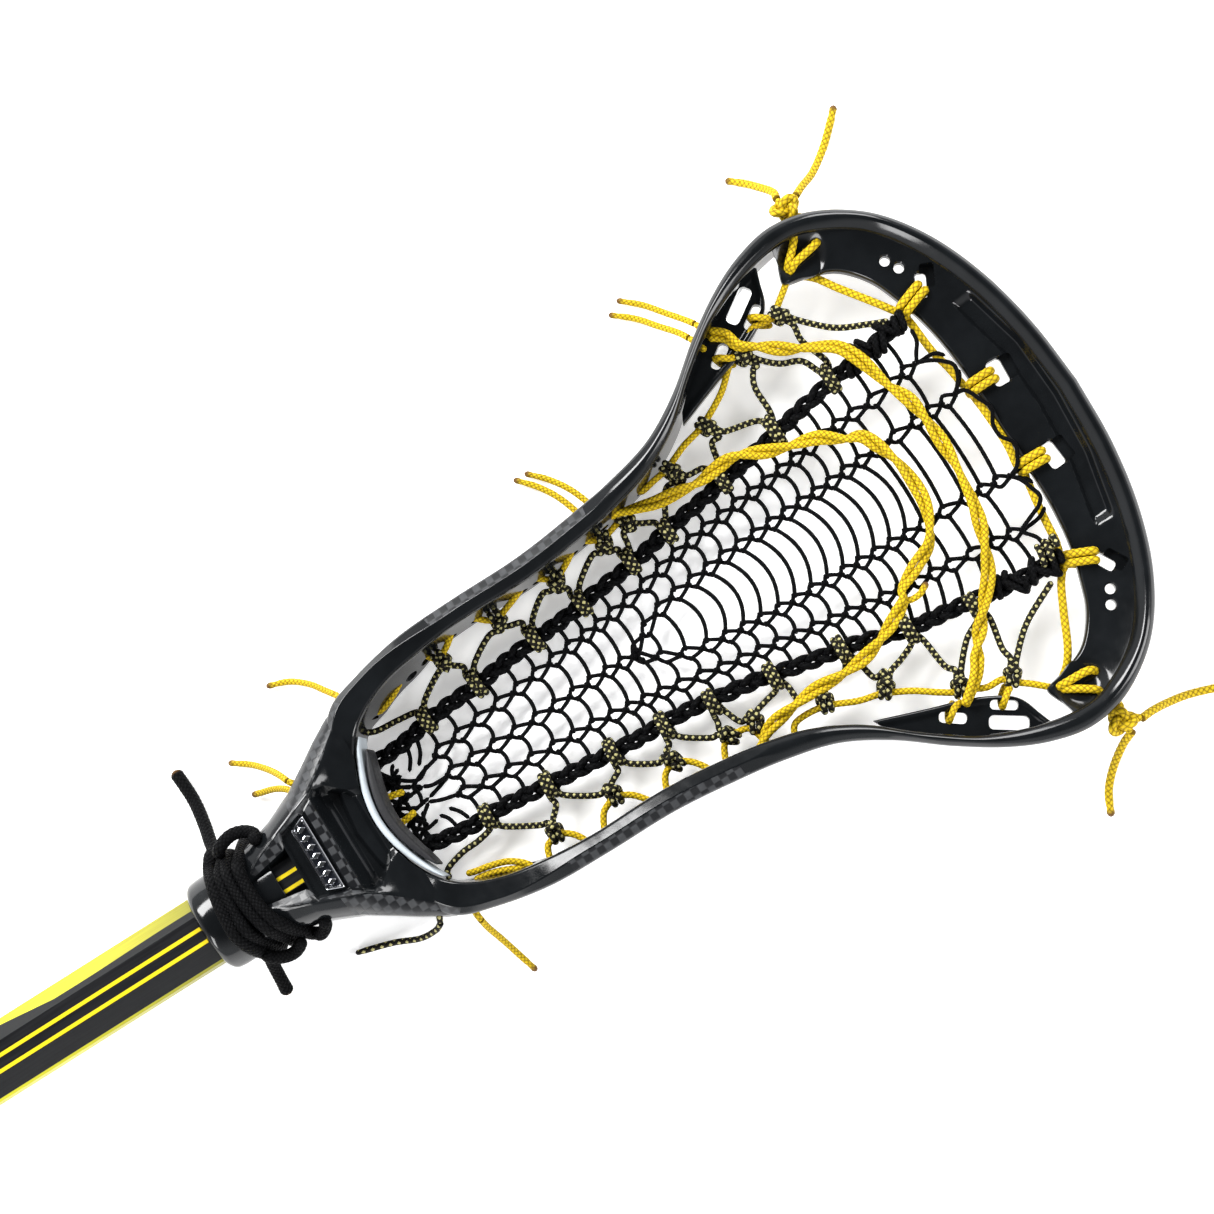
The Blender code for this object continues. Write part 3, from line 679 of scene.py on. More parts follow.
def make_studio():
    """Dark ceiling over pale walls, so that upward faces stay black while the floor is bright."""
    world = bpy.data.worlds.new("studio")
    bpy.context.scene.world = world
    world.use_nodes = True
    tree = world.node_tree
    back = tree.nodes["Background"]
    axes = tree.nodes.new("ShaderNodeSeparateXYZ")
    tree.links.new(tree.nodes.new("ShaderNodeTexCoord").outputs["Generated"], axes.inputs[0])
    fade = tree.nodes.new("ShaderNodeMapRange")
    fade.interpolation_type = "SMOOTHSTEP"
    for key, value in (("From Min", 0.25), ("From Max", 0.86), ("To Min", 0.95), ("To Max", 0.06)):
        fade.inputs[key].default_value = value
    tree.links.new(axes.outputs[2], fade.inputs["Value"])
    tree.links.new(fade.outputs[0], back.inputs["Strength"])
    back.inputs["Color"].default_value = (0.95, 0.97, 1.0, 1)
    for light in LIGHTS:
        area_light(*light)
    mesh = bpy.data.meshes.new("floor")
    mesh.from_pydata([(x * FLOOR_REACH, y * FLOOR_REACH, 0) for x, y in ((-1, -1), (1, -1), (1, 1), (-1, 1))],
                     [], [(0, 1, 2, 3)])
    floor = link("floor", mesh)
    floor.location.z = -FLOOR_DROP
    n = Nodes("pale_floor", Roughness=0.9, Specular_IOR_Level=0.1, Emission_Color=(1, 1, 1, 1),
              Emission_Strength=0.42)
    tone = n.mix(n.noise(2.0, 2), (0.93, 0.93, 0.93, 1), (0.95, 0.95, 0.95, 1))
    mesh.materials.append(n.done(Base_Color=tone))


make_camera()
make_studio()
bpy.context.scene.view_settings.view_transform = "Standard"

# --- free ends ------------------------------------------------------------------------------

# Name, diameter, slot and route of each free end, from where it leaves the head to its tip.
TAILS = [
    ("tail_corner_left_a", TOP_CORD, "yellow_cord",
     [(213, 99.4, 0), (213.6, 102.5, -3), (212, 107.2, -9), (208.8, 112.6, -14), (204.6, 117.2, -16.4)]),
    ("tail_corner_left_b", TOP_CORD, "yellow_cord",
     [(218.6, 97, 0), (222.4, 99.4, -4), (228.4, 102.8, -11), (235.8, 108.4, -15.6), (242, 114, -16.4),
      (247, 119, -16.4)]),
    ("tail_corner_right_a", TOP_CORD, "yellow_cord",
     [(219.4, -97.6, 0), (223.6, -97.4, -3), (230, -98, -9), (237.4, -99.4, -14), (245.4, -102, -16.2),
      (254, -105, -16.4)]),
    ("tail_corner_right_b", TOP_CORD, "yellow_cord",
     [(214.6, -99.4, 0), (210.8, -101.4, -5), (205.4, -105.8, -11), (200.6, -111.4, -15.2),
      (197, -118.6, -16.4)]),
    ("tail_shooting_upper_left_a", SIDE_CORD, "yellow_cord",
     [(170.4, 80.6, -4), (168.4, 84.4, -7), (165, 90, -11), (160.6, 97, -15.2), (154.4, 103.2, -16.7)]),
    ("tail_shooting_upper_left_b", SIDE_CORD, "yellow_cord",
     [(166.4, 77.8, -4), (164.6, 81.8, -7), (161, 87.4, -11), (156.4, 94.4, -15.2), (149.8, 100.6, -16.7)]),
    ("tail_shooting_lower_left_a", SIDE_CORD, "yellow_cord",
     [(112, 42.4, -13), (112, 47, -13), (112, 51.6, -13.2), (109.4, 59, -14.8), (105.2, 65.8, -16.4),
      (99.8, 71.6, -16.7)]),
    ("tail_shooting_lower_left_b", SIDE_CORD, "yellow_cord",
     [(107.4, 42.4, -13), (107.4, 46.5, -13), (107.4, 51, -13.2), (105, 58.6, -14.8), (101.2, 65.4, -16.4),
      (95.8, 71.8, -16.7)]),
    ("tail_sidewall_left", SIDE_CORD, "yellow_cord",
     [(13, 41.4, -2), (10.4, 45, -6.4), (6.4, 50.4, -12), (0.8, 55.2, -15.8), (-6.4, 58, -16.7)]),
    ("tail_throat_left", SIDE_CORD, "yellow_cord",
     [(-12.8, 25.6, 5), (-14.6, 29, 1), (-18, 33.6, -6), (-23, 38.8, -13.4), (-29.4, 43.6, -16.7)]),
    ("tail_crosslace_right", CROSS_CORD, "tracer_cord",
     [(4, -36.6, -1), (1, -37.4, -5), (-5.4, -36.6, -11.6), (-14, -33, -16), (-26, -29.4, -16.7)]),
    ("tail_sidewall_right", SIDE_CORD, "yellow_cord",
     [(15.4, -42.4, 0), (15.6, -45.6, -4.4), (16.6, -50.6, -10.6), (18, -57, -15.2), (20, -64.4, -16.7)]),
    ("tail_neck_left", 4.2, "black_cord",
     [(-44.4, 19.8, 0), (-44.8, 23.4, -3.6), (-44.6, 30, -9), (-44.6, 39.4, -14.2), (-45.4, 50.6, -15.6)]),
]
CORD_LOOK = {"yellow_cord": YELLOW, "tracer_cord": TRACER, "black_cord": BLACK_CORD}


def make_tails():
    """Free ends: a yellow one is pinched and browned at its melted tip, a black one flares."""
    for name, diameter, slot, points in TAILS:
        line = route(points, BRAID_STEP)
        skin = Skin()
        melt = TIP_MELT if slot == "yellow_cord" else 1.6
        radius = np.full(len(line), diameter / 2 * 0.98)
        run = np.linspace(run_length(line), 0, len(line))
        if slot == "black_cord":
            radius *= 1 + 0.16 * np.exp(-run / 1.2)
        else:
            radius *= 1 - 0.14 * np.exp(-((run - melt) / 1.2) ** 2) - 0.12 * (run < 0.8)
        skin.tube(line, radius, ends=(False, True), burn=melt, plait=2 if diameter > 4 else 1)
        item = skin.build(name + "_cord", [CORD_LOOK[slot]], slot, name)


make_tails()

# --- heights of the strung pocket -----------------------------------------------------------

WALL_LINE = [
    (8, 27), (18, 31), (34, 35), (60, 37), (84, 37.5), (105, 39.5), (120, 42), (133, 46), (146, 52),
    (166, 62),
    (180, 70), (197, 77), (225, 80),
]


def rail_height(x):
    return -11.2 + 14.5 * np.clip((np.asarray(x, float) - 120) / 105, 0, 1.02) ** 2


def wall_height(x):
    return -11.4 + 10.9 * np.clip((np.asarray(x, float) - 120) / 78, 0, 1)


def bed(x, y):
    """Height of the strung surface at a plan point: slack between the rails, then up to the sidewall."""
    table = LEFT_RAIL if y >= 0 else RIGHT_RAIL
    rail = abs(along(table, x))
    wall = max(along(WALL_LINE, x), rail + 4)
    if abs(y) <= rail:
        return float(rail_height(x)) - 1.6 * (1 - (y / rail) ** 2)
    share = min((abs(y) - rail) / (wall - rail), 1)
    return float(rail_height(x) + (wall_height(x) - rail_height(x)) * share)


def on_bed(points, lift=0.0):
    """Plan points, or points with a rise of their own, laid on the strung surface."""
    return [(p[0], p[1], bed(p[0], p[1]) + lift + (p[2] if len(p) > 2 else 0)) for p in points]


# --- net ------------------------------------------------------------------------------------

def net_thread(skin, points):
    skin.tube(even(smooth_curve(points, 6), NET_STEP), NET_CORD / 2, sides=NET_SIDES, pitch=NET_PITCH,
              braid=0.1)


def net_knot(skin, x, y, z, angle, size=1.0):
    """Small coil of the thread round a crossing."""
    turn = np.linspace(0, 2.6 * math.pi, 15)
    ca, sa = math.cos(angle), math.sin(angle)
    along_it = np.linspace(-0.75, 0.75, 15) * size
    reach = 0.62 * size
    points = np.column_stack([x + along_it * ca - reach * np.cos(turn) * sa,
                              y + along_it * sa + reach * np.cos(turn) * ca,
                              z + reach * np.sin(turn)])
    skin.tube(points, NET_CORD / 2 * 0.92, sides=6, pitch=NET_PITCH, braid=0.08)


def chain(skin, table, first, last):
    """Two threads that cross at every node and open between them."""
    nodes = [x for x in NODES if first - 0.5 <= x <= last + 0.5]
    for hand in (1, -1):
        points = []
        for i, x in enumerate(nodes):
            y = along(table, x)
            side = hand * (1 if i % 2 else -1)
            wobble = rng.normal(0, 0.12)
            points.append((x, y, bed(x, y) + 0.42 * side))
            if i + 1 < len(nodes):
                gap = nodes[i + 1] - x
                wide = 1.95 if side > 0 else 1.75
                for share, out in ((0.2, 0.85), (0.34, 1.0), (0.62, 0.66)):
                    px = x + gap * share
                    py = along(table, px) + side * out * (wide + wobble)
                    points.append((px, py, bed(px, py) + 0.1 * side))
        net_thread(skin, points)
    for x in nodes:
        y = along(table, x)
        net_knot(skin, x, y, bed(x, y) + 0.3, -0.75 + rng.normal(0, 0.25), 1.05)


def rung(skin, a, b, bow):
    """One thread between two places, bowed towards the scoop."""
    ax, ay = a
    bx, by = b
    points = []
    sag = rng.normal(0, 0.12)
    for t in np.linspace(0, 1, 9):
        rise = 4 * t * (1 - t)
        x = ax + (bx - ax) * t + (bow + sag) * rise
        y = ay + (by - ay) * t
        points.append((x, y, bed(x, y) - 0.1 + 0.35 * (1 - rise)))
    net_thread(skin, points)
    for x, y in (a, b):
        net_knot(skin, x, y, bed(x, y) + 0.25, math.pi / 2 + rng.normal(0, 0.35), 0.82)


def make_net():
    skin = Skin()
    chain(skin, CHAIN_LEFT, 28, 221)
    chain(skin, CHAIN_MIDDLE, 28, 98)
    chain(skin, CHAIN_UPPER, 98, 226)
    chain(skin, CHAIN_LOWER, 98, 226)
    chain(skin, CHAIN_RIGHT, 28, 221)
    for i, node in enumerate(NODES[:-1]):
        x = node + (NODES[i + 1] - node) * 0.33
        late = x > 196
        short = 0.5 if late else 0.85
        if x < 100:
            inner = [(CHAIN_LEFT, CHAIN_MIDDLE, short), (CHAIN_MIDDLE, CHAIN_RIGHT, short)]
        else:
            inner = [(CHAIN_LEFT, CHAIN_UPPER, short),
                     (CHAIN_UPPER, CHAIN_LOWER, 0.8 if late else 0.7 + 2.5 * ramp(x, 104, 130)),
                     (CHAIN_LOWER, CHAIN_RIGHT, short)]
        for high, low, bow in inner:
            if x > 221 and (high is CHAIN_LEFT or low is CHAIN_RIGHT):
                continue
            rung(skin, (x, along(high, x) - CHAIN_HALF), (x, along(low, x) + CHAIN_HALF), bow)
        if x < 222:
            lean = 3.2 * float(ramp(x, 165, 185)) * (1 - float(ramp(x, 200, 215)))
            rung(skin, (x - 0.5, along(LEFT_RAIL, x) - 1.2), (x, along(CHAIN_LEFT, x) + CHAIN_HALF), 0.5)
            rung(skin, (x, along(CHAIN_RIGHT, x) - CHAIN_HALF), (x - lean, along(RIGHT_RAIL, x) + 1.2), 0.5)
    # Loops gathered into the bunch at the throat.
    for points in (
        [(17, 5), (22, 7.2), (27, 8.5), (29, 9)], [(20, 3.5), (23, 2.2), (28.5, 2)],
        [(20, -0.5), (24, 0.6), (28.5, 2)],
        [(19, -1.5), (23, -3.2), (28.5, -4.6)], [(16, 14.5), (14.5, 13), (13.5, 10.5)],
        [(22.5, 16.5), (21.5, 13), (19, 9.5)], [(26.5, 17), (25.2, 13), (22.5, 9.5)],
        [(20, -7), (22, -9.5), (23, -13)], [(23.5, -6.5), (26, -9.5), (27.5, -13)],
        [(14, -1), (11, -6), (9, -12)], [(16, -3), (14, -8), (12, -12.6)], [(10, 13), (13, 8), (17, 5)],
        [(10, 15.5), (14, 10), (20, 6), (25, 8.6)], [(10, 9), (15, 6.5), (20, 3.6)],
        [(9, 4), (14, 3.4), (20, 3.4)],
        [(9, -2), (14, -1.5), (20, -0.5)], [(9, -9), (14, -5.5), (19, -1.6)], [(9.5, 1), (13, 6), (12, 12)],
        [(17, 5), (18, 2), (17, -1.6)], [(12, 5), (13, 1), (12.5, -3)], [(10, -5), (14, -8.5), (19, -8)],
    ):
        net_thread(skin, on_bed(points, 0.3 + rng.normal(0, 0.5)))
    for _ in range(LOOSE_THREADS):
        x, y = rng.uniform(9, 15), rng.uniform(-13.5, 13.5)
        turn, reach = rng.uniform(0, 6.28), rng.uniform(2.0, 4.6)
        points = []
        for q in (-1, -0.4, 0.3, 1):
            points.append((x + reach * q * math.cos(turn) * 0.8 + rng.normal(0, 0.5),
                           min(max(y + reach * q * math.sin(turn), -13), 14.5), rng.uniform(-1.0, 1.2)))
        net_thread(skin, on_bed([(max(px, 7.8), py, pz) for px, py, pz in points], 0.4))
    # Spirals over the string along the scoop.
    for points in (
        [(226, 17), (229, 15.5), (231, 11), (232.5, 7), (231, 4), (230, 2), (230, -2), (232.5, -6),
         (231, -10),
         (229, -12.6), (226, -14)],
        [(221, 31.3), (225, 29.4), (228, 27), (230, 24.5), (229.6, 21.5), (228, 19), (226, 17)],
        [(226, -14), (228, -17), (229, -20), (230, -24), (228, -26.4), (225, -27.6), (220, -30), (221.6, -33),
         (222.5, -34.6), (223, -38)],
        [(225, 41), (224.6, 37), (222.6, 34), (221, 31.3)],
    ):
        net_thread(skin, on_bed(points, 1.7))
    for points in (
        [(226, 17), (230.4, 16), (232.4, 14)], [(226, -14), (230.4, -13), (232, -10.4)],
        [(221, 31.3), (227, 31), (229.8, 28.5)], [(220, -30), (226.5, -29.4), (229.8, -27.5)],
        [(226, 17), (229.8, 20.5), (230.8, 23)], [(226, -14), (229.6, -17), (230.8, -19.5)],
    ):
        net_thread(skin, on_bed(points, -0.6))
    skin.build("net", [BLACK_CORD], "black_cord", "mesh_pocket")


# --- rails ----------------------------------------------------------------------------------

# Place along the rail, lean, size and sideways shift of each knot at its scoop end.
RAIL_KNOTS = [
    (205.5, 1.9, 3.0, -0.6), (210, -1.6, 3.5, 1.1), (215.5, 2.2, 3.6, -0.5), (219.5, -2.4, 3.4, 0.9),
    (223, 1.2, 3.0, 0.4),
]


def make_rail(table, name):
    """Flat plait of three braided strands, with knots at the scoop end."""
    skin = Skin()
    line = route([(x, y, float(rail_height(x))) for x, y in table], 0.5)
    directions, run = level_frame(line), travel(line)
    wander = np.interp(run, np.linspace(0, run[-1], 30), rng.normal(0, 0.25, 30))
    phase = 2 * math.pi * run / RAIL_PITCH + wander
    for third in range(3):
        turn = phase + third * 2 * math.pi / 3
        width = 1.75 * (1 + 0.14 * np.sin(run / 6.1 + 2 * third))
        skin.tube(shifted(line, directions, width * np.sin(turn), 1.15 * np.sin(2 * turn)), RAIL_CORD / 2)
    sign = 1 if table is LEFT_RAIL else -1
    # Knots: thick turns round the end of the rail.
    for x, lean, size, off in RAIL_KNOTS:
        y = along(table, x) + sign * off
        t = np.linspace(0, 2.9 * math.pi, 30) + rng.uniform(0, 6)
        shift = np.linspace(-1.9, 1.9, 30)
        loop = np.column_stack([x + shift + lean * np.cos(t), y + size * 0.92 * np.cos(t + 0.3 * off),
                                float(rail_height(x)) + 0.4 + size * 0.6 * np.sin(t)])
        skin.tube(even(smooth_curve(loop, 3), 0.5), RAIL_CORD / 2 * 0.95)
    skin.build(name + "_cord", [BLACK_CORD], "black_cord", name)


# --- sidewall strings and laces -------------------------------------------------------------

HOLE_LEVEL = -12.0
OUTER_WALL = [
    (-4, 12), (3, 26), (10, 35.6), (22, 40.0), (40, 43.4), (60, 44.2), (84, 44.4), (106, 46.6),
    (122, 49.2), (137.6, 53.4), (152, 61.4), (166, 72), (180, 81), (206, 89),
]

# Pieces of string between the wall and its loose ends; the longest is an end of its own.
SIDE_STUBS = {
    1: [[(15.6, 35.4, 1.0), (14.2, 39.0, 0.1), (13.1, 41.3, -1.8)],
        [(-9.8, 20.8, 4.4), (-11.4, 23.6, 5.2), (-12.7, 25.4, 5.1)],
        [(-11.6, 18.4, 3.4), (-13.4, 21.5, 2), (-15.6, 24.6, -2.4), (-20, 27.6, -9), (-25, 29.6, -14.6),
         (-28.1, 30.7, -16.2)]],
    -1: [[(15.2, -36.6, 1.6), (15.3, -40.0, 1.3), (15.4, -42.2, 0.2)]],
}

# Runs of each sidewall string inside the head; between two runs it passes outside the wall.
LEFT_SIDE_RUNS = [
    [(35.5, 38.5), (30, 34.5), (25, 32), (21, 31), (17.5, 32.6)],
    [(42, 39.5), (45, 35.5), (49, 36.5), (53, 39.6)],
    [(62, 40), (67, 36), (72, 37), (79.5, 40)],
    [(85, 40.5), (90, 37), (95, 38.5), (99.5, 41.6)],
    [(105, 41.6), (110, 39.8), (116, 41), (119, 42.6)],
    [(128, 45.4), (133, 46), (139, 47), (147, 50), (155, 52), (165, 57), (171, 62), (175.5, 66), (180, 66.4),
     (184.5, 69), (189, 68.5), (192, 68.5), (197, 72), (203, 76.5)],
]
RIGHT_SIDE_RUNS = [
    [(17.5, -27.2), (21, -28.2), (25, -29), (31, -31), (36, -35.4)],
    [(42, -39), (43.6, -34), (46, -32.5), (49, -32), (53, -35), (55.5, -39.4)],
    [(61, -40), (64, -34.4), (67, -32.5), (70, -31.8), (75, -34.2), (79.5, -40)],
    [(84, -40.4), (86.4, -35), (89, -33), (92, -32.7), (96.5, -35.6), (100, -41)],
    [(105, -41.4), (107, -37), (109, -35.3), (113, -35), (117, -36.2), (119, -42)],
    [(128, -44.6), (131, -42), (140, -42.7), (150, -47), (157, -49), (165, -53), (172, -58), (176, -60.6),
     (180, -62),
     (185, -64.6), (190, -65), (192, -67), (197, -71), (203, -76.5)],
]


def side_points(run, sign):
    """Inner run of a sidewall string, laid at the wall's height."""
    return [(x, sign * y, float(wall_height(x)) + 0.1) for x, y in run]


def make_side_string(runs, name, sign):
    """Inner runs joined by short spans along the outside of the wall, under the rim's bead."""
    whole = []
    for i, run in enumerate(runs):
        whole += side_points(run, sign)
        if i + 1 < len(runs):
            a, b = run[-1], runs[i + 1][0]
            if sign > 0 and i == 0:
                a = run[0]
            for q in (0.12, 0.5, 0.88):
                x = a[0] + (b[0] - a[0]) * q
                whole.append((x, sign * (along(OUTER_WALL, x) - 1.7), HOLE_LEVEL))
    skin = Skin()
    if sign > 0:
        first = side_points(runs[0][::-1], sign)
        whole = first + whole[len(runs[0]):]
    line = route(whole, BRAID_STEP)
    skin.tube(line, SIDE_CORD / 2)
    # A second strand lies beside the first near the throat.
    if sign < 0:
        extra = [(18.5, -30.2), (23, -30.8), (28, -32.4), (33, -34.8), (37, -38.4)]
        skin.tube(route([(x, y, float(wall_height(x)) - 0.5) for x, y in extra], BRAID_STEP), SIDE_CORD / 2)
    # Loops through the strut's slots.
    for points in (
        [(176.6, 64.2, -2.8), (173.6, 64.6, -1.0), (171.0, 66.4, -0.6), (169.8, 67.2, -3.4),
         (171.4, 64.8, -7.0),
         (174.6, 62.6, -5.2)],
        [(191.4, 68.2, -0.6), (189.0, 69.6, 0.4), (187.0, 71.2, 0.4), (185.9, 72.2, -3.0),
         (187.4, 69.6, -6.8),
         (190.6, 66.8, -4.0)],
    ):
        skin.tube(route(mirrored(points, sign), BRAID_STEP), SIDE_CORD / 2)
    if sign > 0:
        # Two short ends tucked into the bunch behind the ball stop's pads.
        for points in ([(7.2, 6.6, -9.4), (10, 6.0, -8.6), (12.4, 5.4, -8.4), (14.8, 4.9, -9.0)],
                       [(8.0, -3.0, -9.4), (10.6, -2.9, -8.6), (12.6, -2.6, -8.4), (14.6, -2.2, -9.0)]):
            skin.tube(route(points, BRAID_STEP), SIDE_CORD / 2)
    for points in SIDE_STUBS[sign]:
        loose = len(points) > 4
        skin.tube(route(points, BRAID_STEP), SIDE_CORD / 2, ends=(True, loose), burn=TIP_MELT if loose else 0)
    skin.build(name + "_cord", [YELLOW], "yellow_cord", name)


LEFT_LACE = [
    ("go", 14, 31), ("go", 13.5, 28), ("go", 17, 26), ("go", 24, 25.3), ("wrap", 32, 25, 16),
    ("go", 44, 31.5),
    ("ring", 46, 35), ("go", 51, 28.5), ("wrap", 51.5, 26.5, 17), ("go", 63, 32.5), ("ring", 68, 36.5),
    ("go", 74, 30.5), ("wrap", 74.5, 28.5, 19.5), ("go", 84, 34.5), ("ring", 91, 37), ("go", 92, 32),
    ("wrap", 93, 30, 21), ("go", 104, 36.5), ("ring", 110, 39.3), ("go", 112, 34), ("wrap", 113, 33, 24),
    ("go", 116.5, 37.5), ("ring", 118.5, 41), ("go", 126, 35), ("wrap", 128, 34.5, 26), ("go", 135.5, 42),
    ("ring", 139, 46.6), ("go", 148, 41), ("wrap", 151, 40, 30), ("go", 155, 46), ("ring", 155.8, 52),
    ("go", 163, 46), ("go", 169, 44.6), ("wrap", 173, 44, 33), ("go", 175.5, 53), ("go", 178, 58),
    ("ring", 177, 64), ("go", 186, 55), ("go", 192, 52), ("wrap", 196, 47.5, 37.5), ("go", 195.5, 57),
    ("ring", 193.5, 68.4), ("go", 206, 55), ("go", 215, 50), ("go", 221, 47),
]
RIGHT_LACE = [
    ("go", 12.5, 26), ("go", 13.5, 23), ("go", 20, 21), ("go", 26, 20.6), ("wrap", 32.5, 20, 11.5),
    ("go", 45, 26.5), ("ring", 48, 32), ("go", 53, 24), ("wrap", 54, 22, 13), ("go", 66, 28.5),
    ("ring", 70, 32), ("go", 75, 25.5), ("wrap", 76.5, 24.5, 15), ("go", 87, 30), ("ring", 92, 33),
    ("go", 93, 27), ("wrap", 94.5, 26, 16.5), ("go", 105, 32), ("ring", 111, 35.3), ("go", 109.5, 29.5),
    ("wrap", 111, 27.5, 18.5), ("go", 116, 33), ("ring", 119, 36.4), ("go", 126, 31.5),
    ("wrap", 131.5, 31, 21.5),
    ("go", 135, 37), ("ring", 141, 42.8), ("go", 150, 37.5), ("wrap", 154, 36, 26), ("go", 158, 43.5),
    ("ring", 158.5, 49), ("go", 168, 43.2), ("wrap", 174.5, 41.5, 31.5), ("go", 178, 52), ("ring", 178, 61),
    ("go", 188, 49), ("wrap", 195, 46.5, 37), ("go", 195.5, 57), ("ring", 193, 66.6), ("go", 206, 54.5),
    ("go", 219, 48),
]


# Cow hitch: distance towards the rail, half spacing and rise of each point of its first half.
HITCH = [
    (1.0, 0.95, 1.0), (0.55, 1.0, 1.5), (0.0, 1.05, 2.05), (-0.36, 1.05, 1.1), (-0.34, 1.2, -1.2),
    (0.1, 1.8, -1.9),
    (0.5, 2.0, -0.2), (0.55, 1.2, 2.6), (0.55, 0.0, 3.2),
]


def hitch(before, centre, after, sign):
    """Doubled leg towards the rail and a hitch round the sidewall string."""
    p, c, q = (np.array(v, float) for v in (before, centre, after))
    leg = 4.6 if c[0] < 130 else 6.2
    ahead = (p + q) / 2 - c
    ahead /= np.linalg.norm(ahead)
    beside = np.array([-ahead[1], ahead[0]])
    if (p - c) @ beside < 0:
        beside = -beside
    base = float(wall_height(c[0])) + 0.1
    half = [(leg * d if k == 0 else 4.6 * d, e, h) for k, (d, e, h) in enumerate(HITCH)]
    whole = half + [(d, -e, h) for d, e, h in half[-2::-1]]
    points = []
    for d, e, h in whole:
        at = c + ahead * d + beside * e
        points.append((at[0], sign * at[1], base + h))
    return points


def lace_route(steps, sign):
    """Route of a lace: over and round the rail twice at a wrap, once round the sidewall string at a ring."""
    points = []
    for i, (kind, x, y, *more) in enumerate(steps):
        if kind == "go":
            points.append((x, sign * y, bed(x, sign * y) + 0.9))
        elif kind == "ring":
            points += hitch(steps[i - 1][1:3], (x, y), steps[i + 1][1:3], sign)
        else:
            inner, centre = more[0], (y + more[0]) / 2
            base = float(rail_height(x))
            reach = (y - inner) / 2 - 0.6
            for turn in range(2):
                for k, (across,
                        rise) in enumerate(((1.0, 0.4), (0.55, 3.1), (-0.3, 3.6), (-0.95, 1.2), (-0.6, -2.6),
                                                    (0.35, -3.2))):
                    shift = -1.3 + 2.15 * turn + 0.28 * k * (1 if turn == 0 else 0.6)
                    points.append((x + shift, sign * (centre + reach * across), max(base + rise, -16.0)))
            points.append((x + 2.6, sign * (y + 0.6), base + 0.6))
    return points


def make_lace(steps, name, sign):
    skin = Skin()
    line = even(smooth_curve(lace_route(steps, sign), 8), BRAID_STEP)
    skin.tube(line, CROSS_CORD / 2, pitch=TRACER_PITCH)
    if sign < 0:
        skin.tube(route([(7.2, -30.6, 1.2), (5.2, -34.4, 0.8), (4.1, -36.4, -0.8)], BRAID_STEP),
                  CROSS_CORD / 2,
                  pitch=TRACER_PITCH)
        t = np.linspace(0, 4.6 * math.pi, 46)
        x = 219.5 + np.linspace(0, 6.4, 46)
        coil = np.column_stack([x + 1.1 * np.cos(t), -39.6 + 3.0 * np.cos(t),
                                rail_height(x) + 1.2 + 2.6 * np.sin(t)])
        skin.tube(even(smooth_curve(coil, 3), BRAID_STEP), CROSS_CORD / 2, pitch=TRACER_PITCH)
    skin.build(name + "_cord", [TRACER], "tracer_cord", name)


# --- shooting strings and top string --------------------------------------------------------

UPPER_SHOOTING = [
    (172, 74.5), (176, 71), (178, 66), (183, 62.5), (190, 57), (197, 53), (203, 49), (206, 44), (208, 38),
    (210, 30),
    (213, 22), (214, 12), (214, 0), (213, -8), (212, -15), (210, -22), (206, -32), (203, -37), (195, -46),
    (189, -53),
    (184, -60), (176, -66),
]
LOWER_SHOOTING = [
    (114, 44.5), (120, 42.6), (125, 41), (130, 39.5), (137, 38.5), (145, 37.5), (150, 38), (157, 38.5),
    (162, 37),
    (168, 34), (175, 31.5), (183, 29), (190, 24), (195, 21.5), (198, 15), (200, 8), (200.5, 0), (200, -6),
    (198, -12),
    (194, -18), (188, -21), (180, -25), (178, -28.5), (170, -33), (160, -36.5), (150, -37.5), (140, -37),
    (130, -38),
    (122, -39.5), (116, -43.5),
]


def make_shooting(table, name, lift, pitch):
    """Two strands laid side by side with a slow twist."""
    skin = Skin()
    line = even(smooth_curve(on_bed(table, lift), 12), BRAID_STEP)
    directions = level_frame(line, unit=True)
    run = np.linspace(0, run_length(line), len(line))
    wander = np.interp(run, np.linspace(0, run[-1], 12), rng.normal(0, 0.9, 12))
    phase = 2 * math.pi * run / pitch + wander
    for hand in (0, math.pi):
        apart = STRAND_CORD / 2 * 1.04
        skin.tube(shifted(line, directions, apart * np.cos(phase + hand), apart * np.sin(phase + hand)),
                  STRAND_CORD / 2)
    if table is UPPER_SHOOTING:
        for points in ([(172.4, 73.4, -1.6), (171.4, 77.4, -2.2), (170.5, 80.4, -3.8)],
                       [(168.6, 70.8, -1.6), (167.5, 74.6, -2.2), (166.5, 77.6, -3.8)]):
            skin.tube(route(points, BRAID_STEP), SIDE_CORD / 2)
    if table is LOWER_SHOOTING:
        tail = route(on_bed([(178, -28.4), (181, -29.4), (184, -29.2), (187.5, -27.4)], 2.2), BRAID_STEP)
        skin.tube(tail, STRAND_CORD / 2 * 0.9, burn=2.0)
    skin.build(name + "_cord", [YELLOW], "yellow_cord", name)


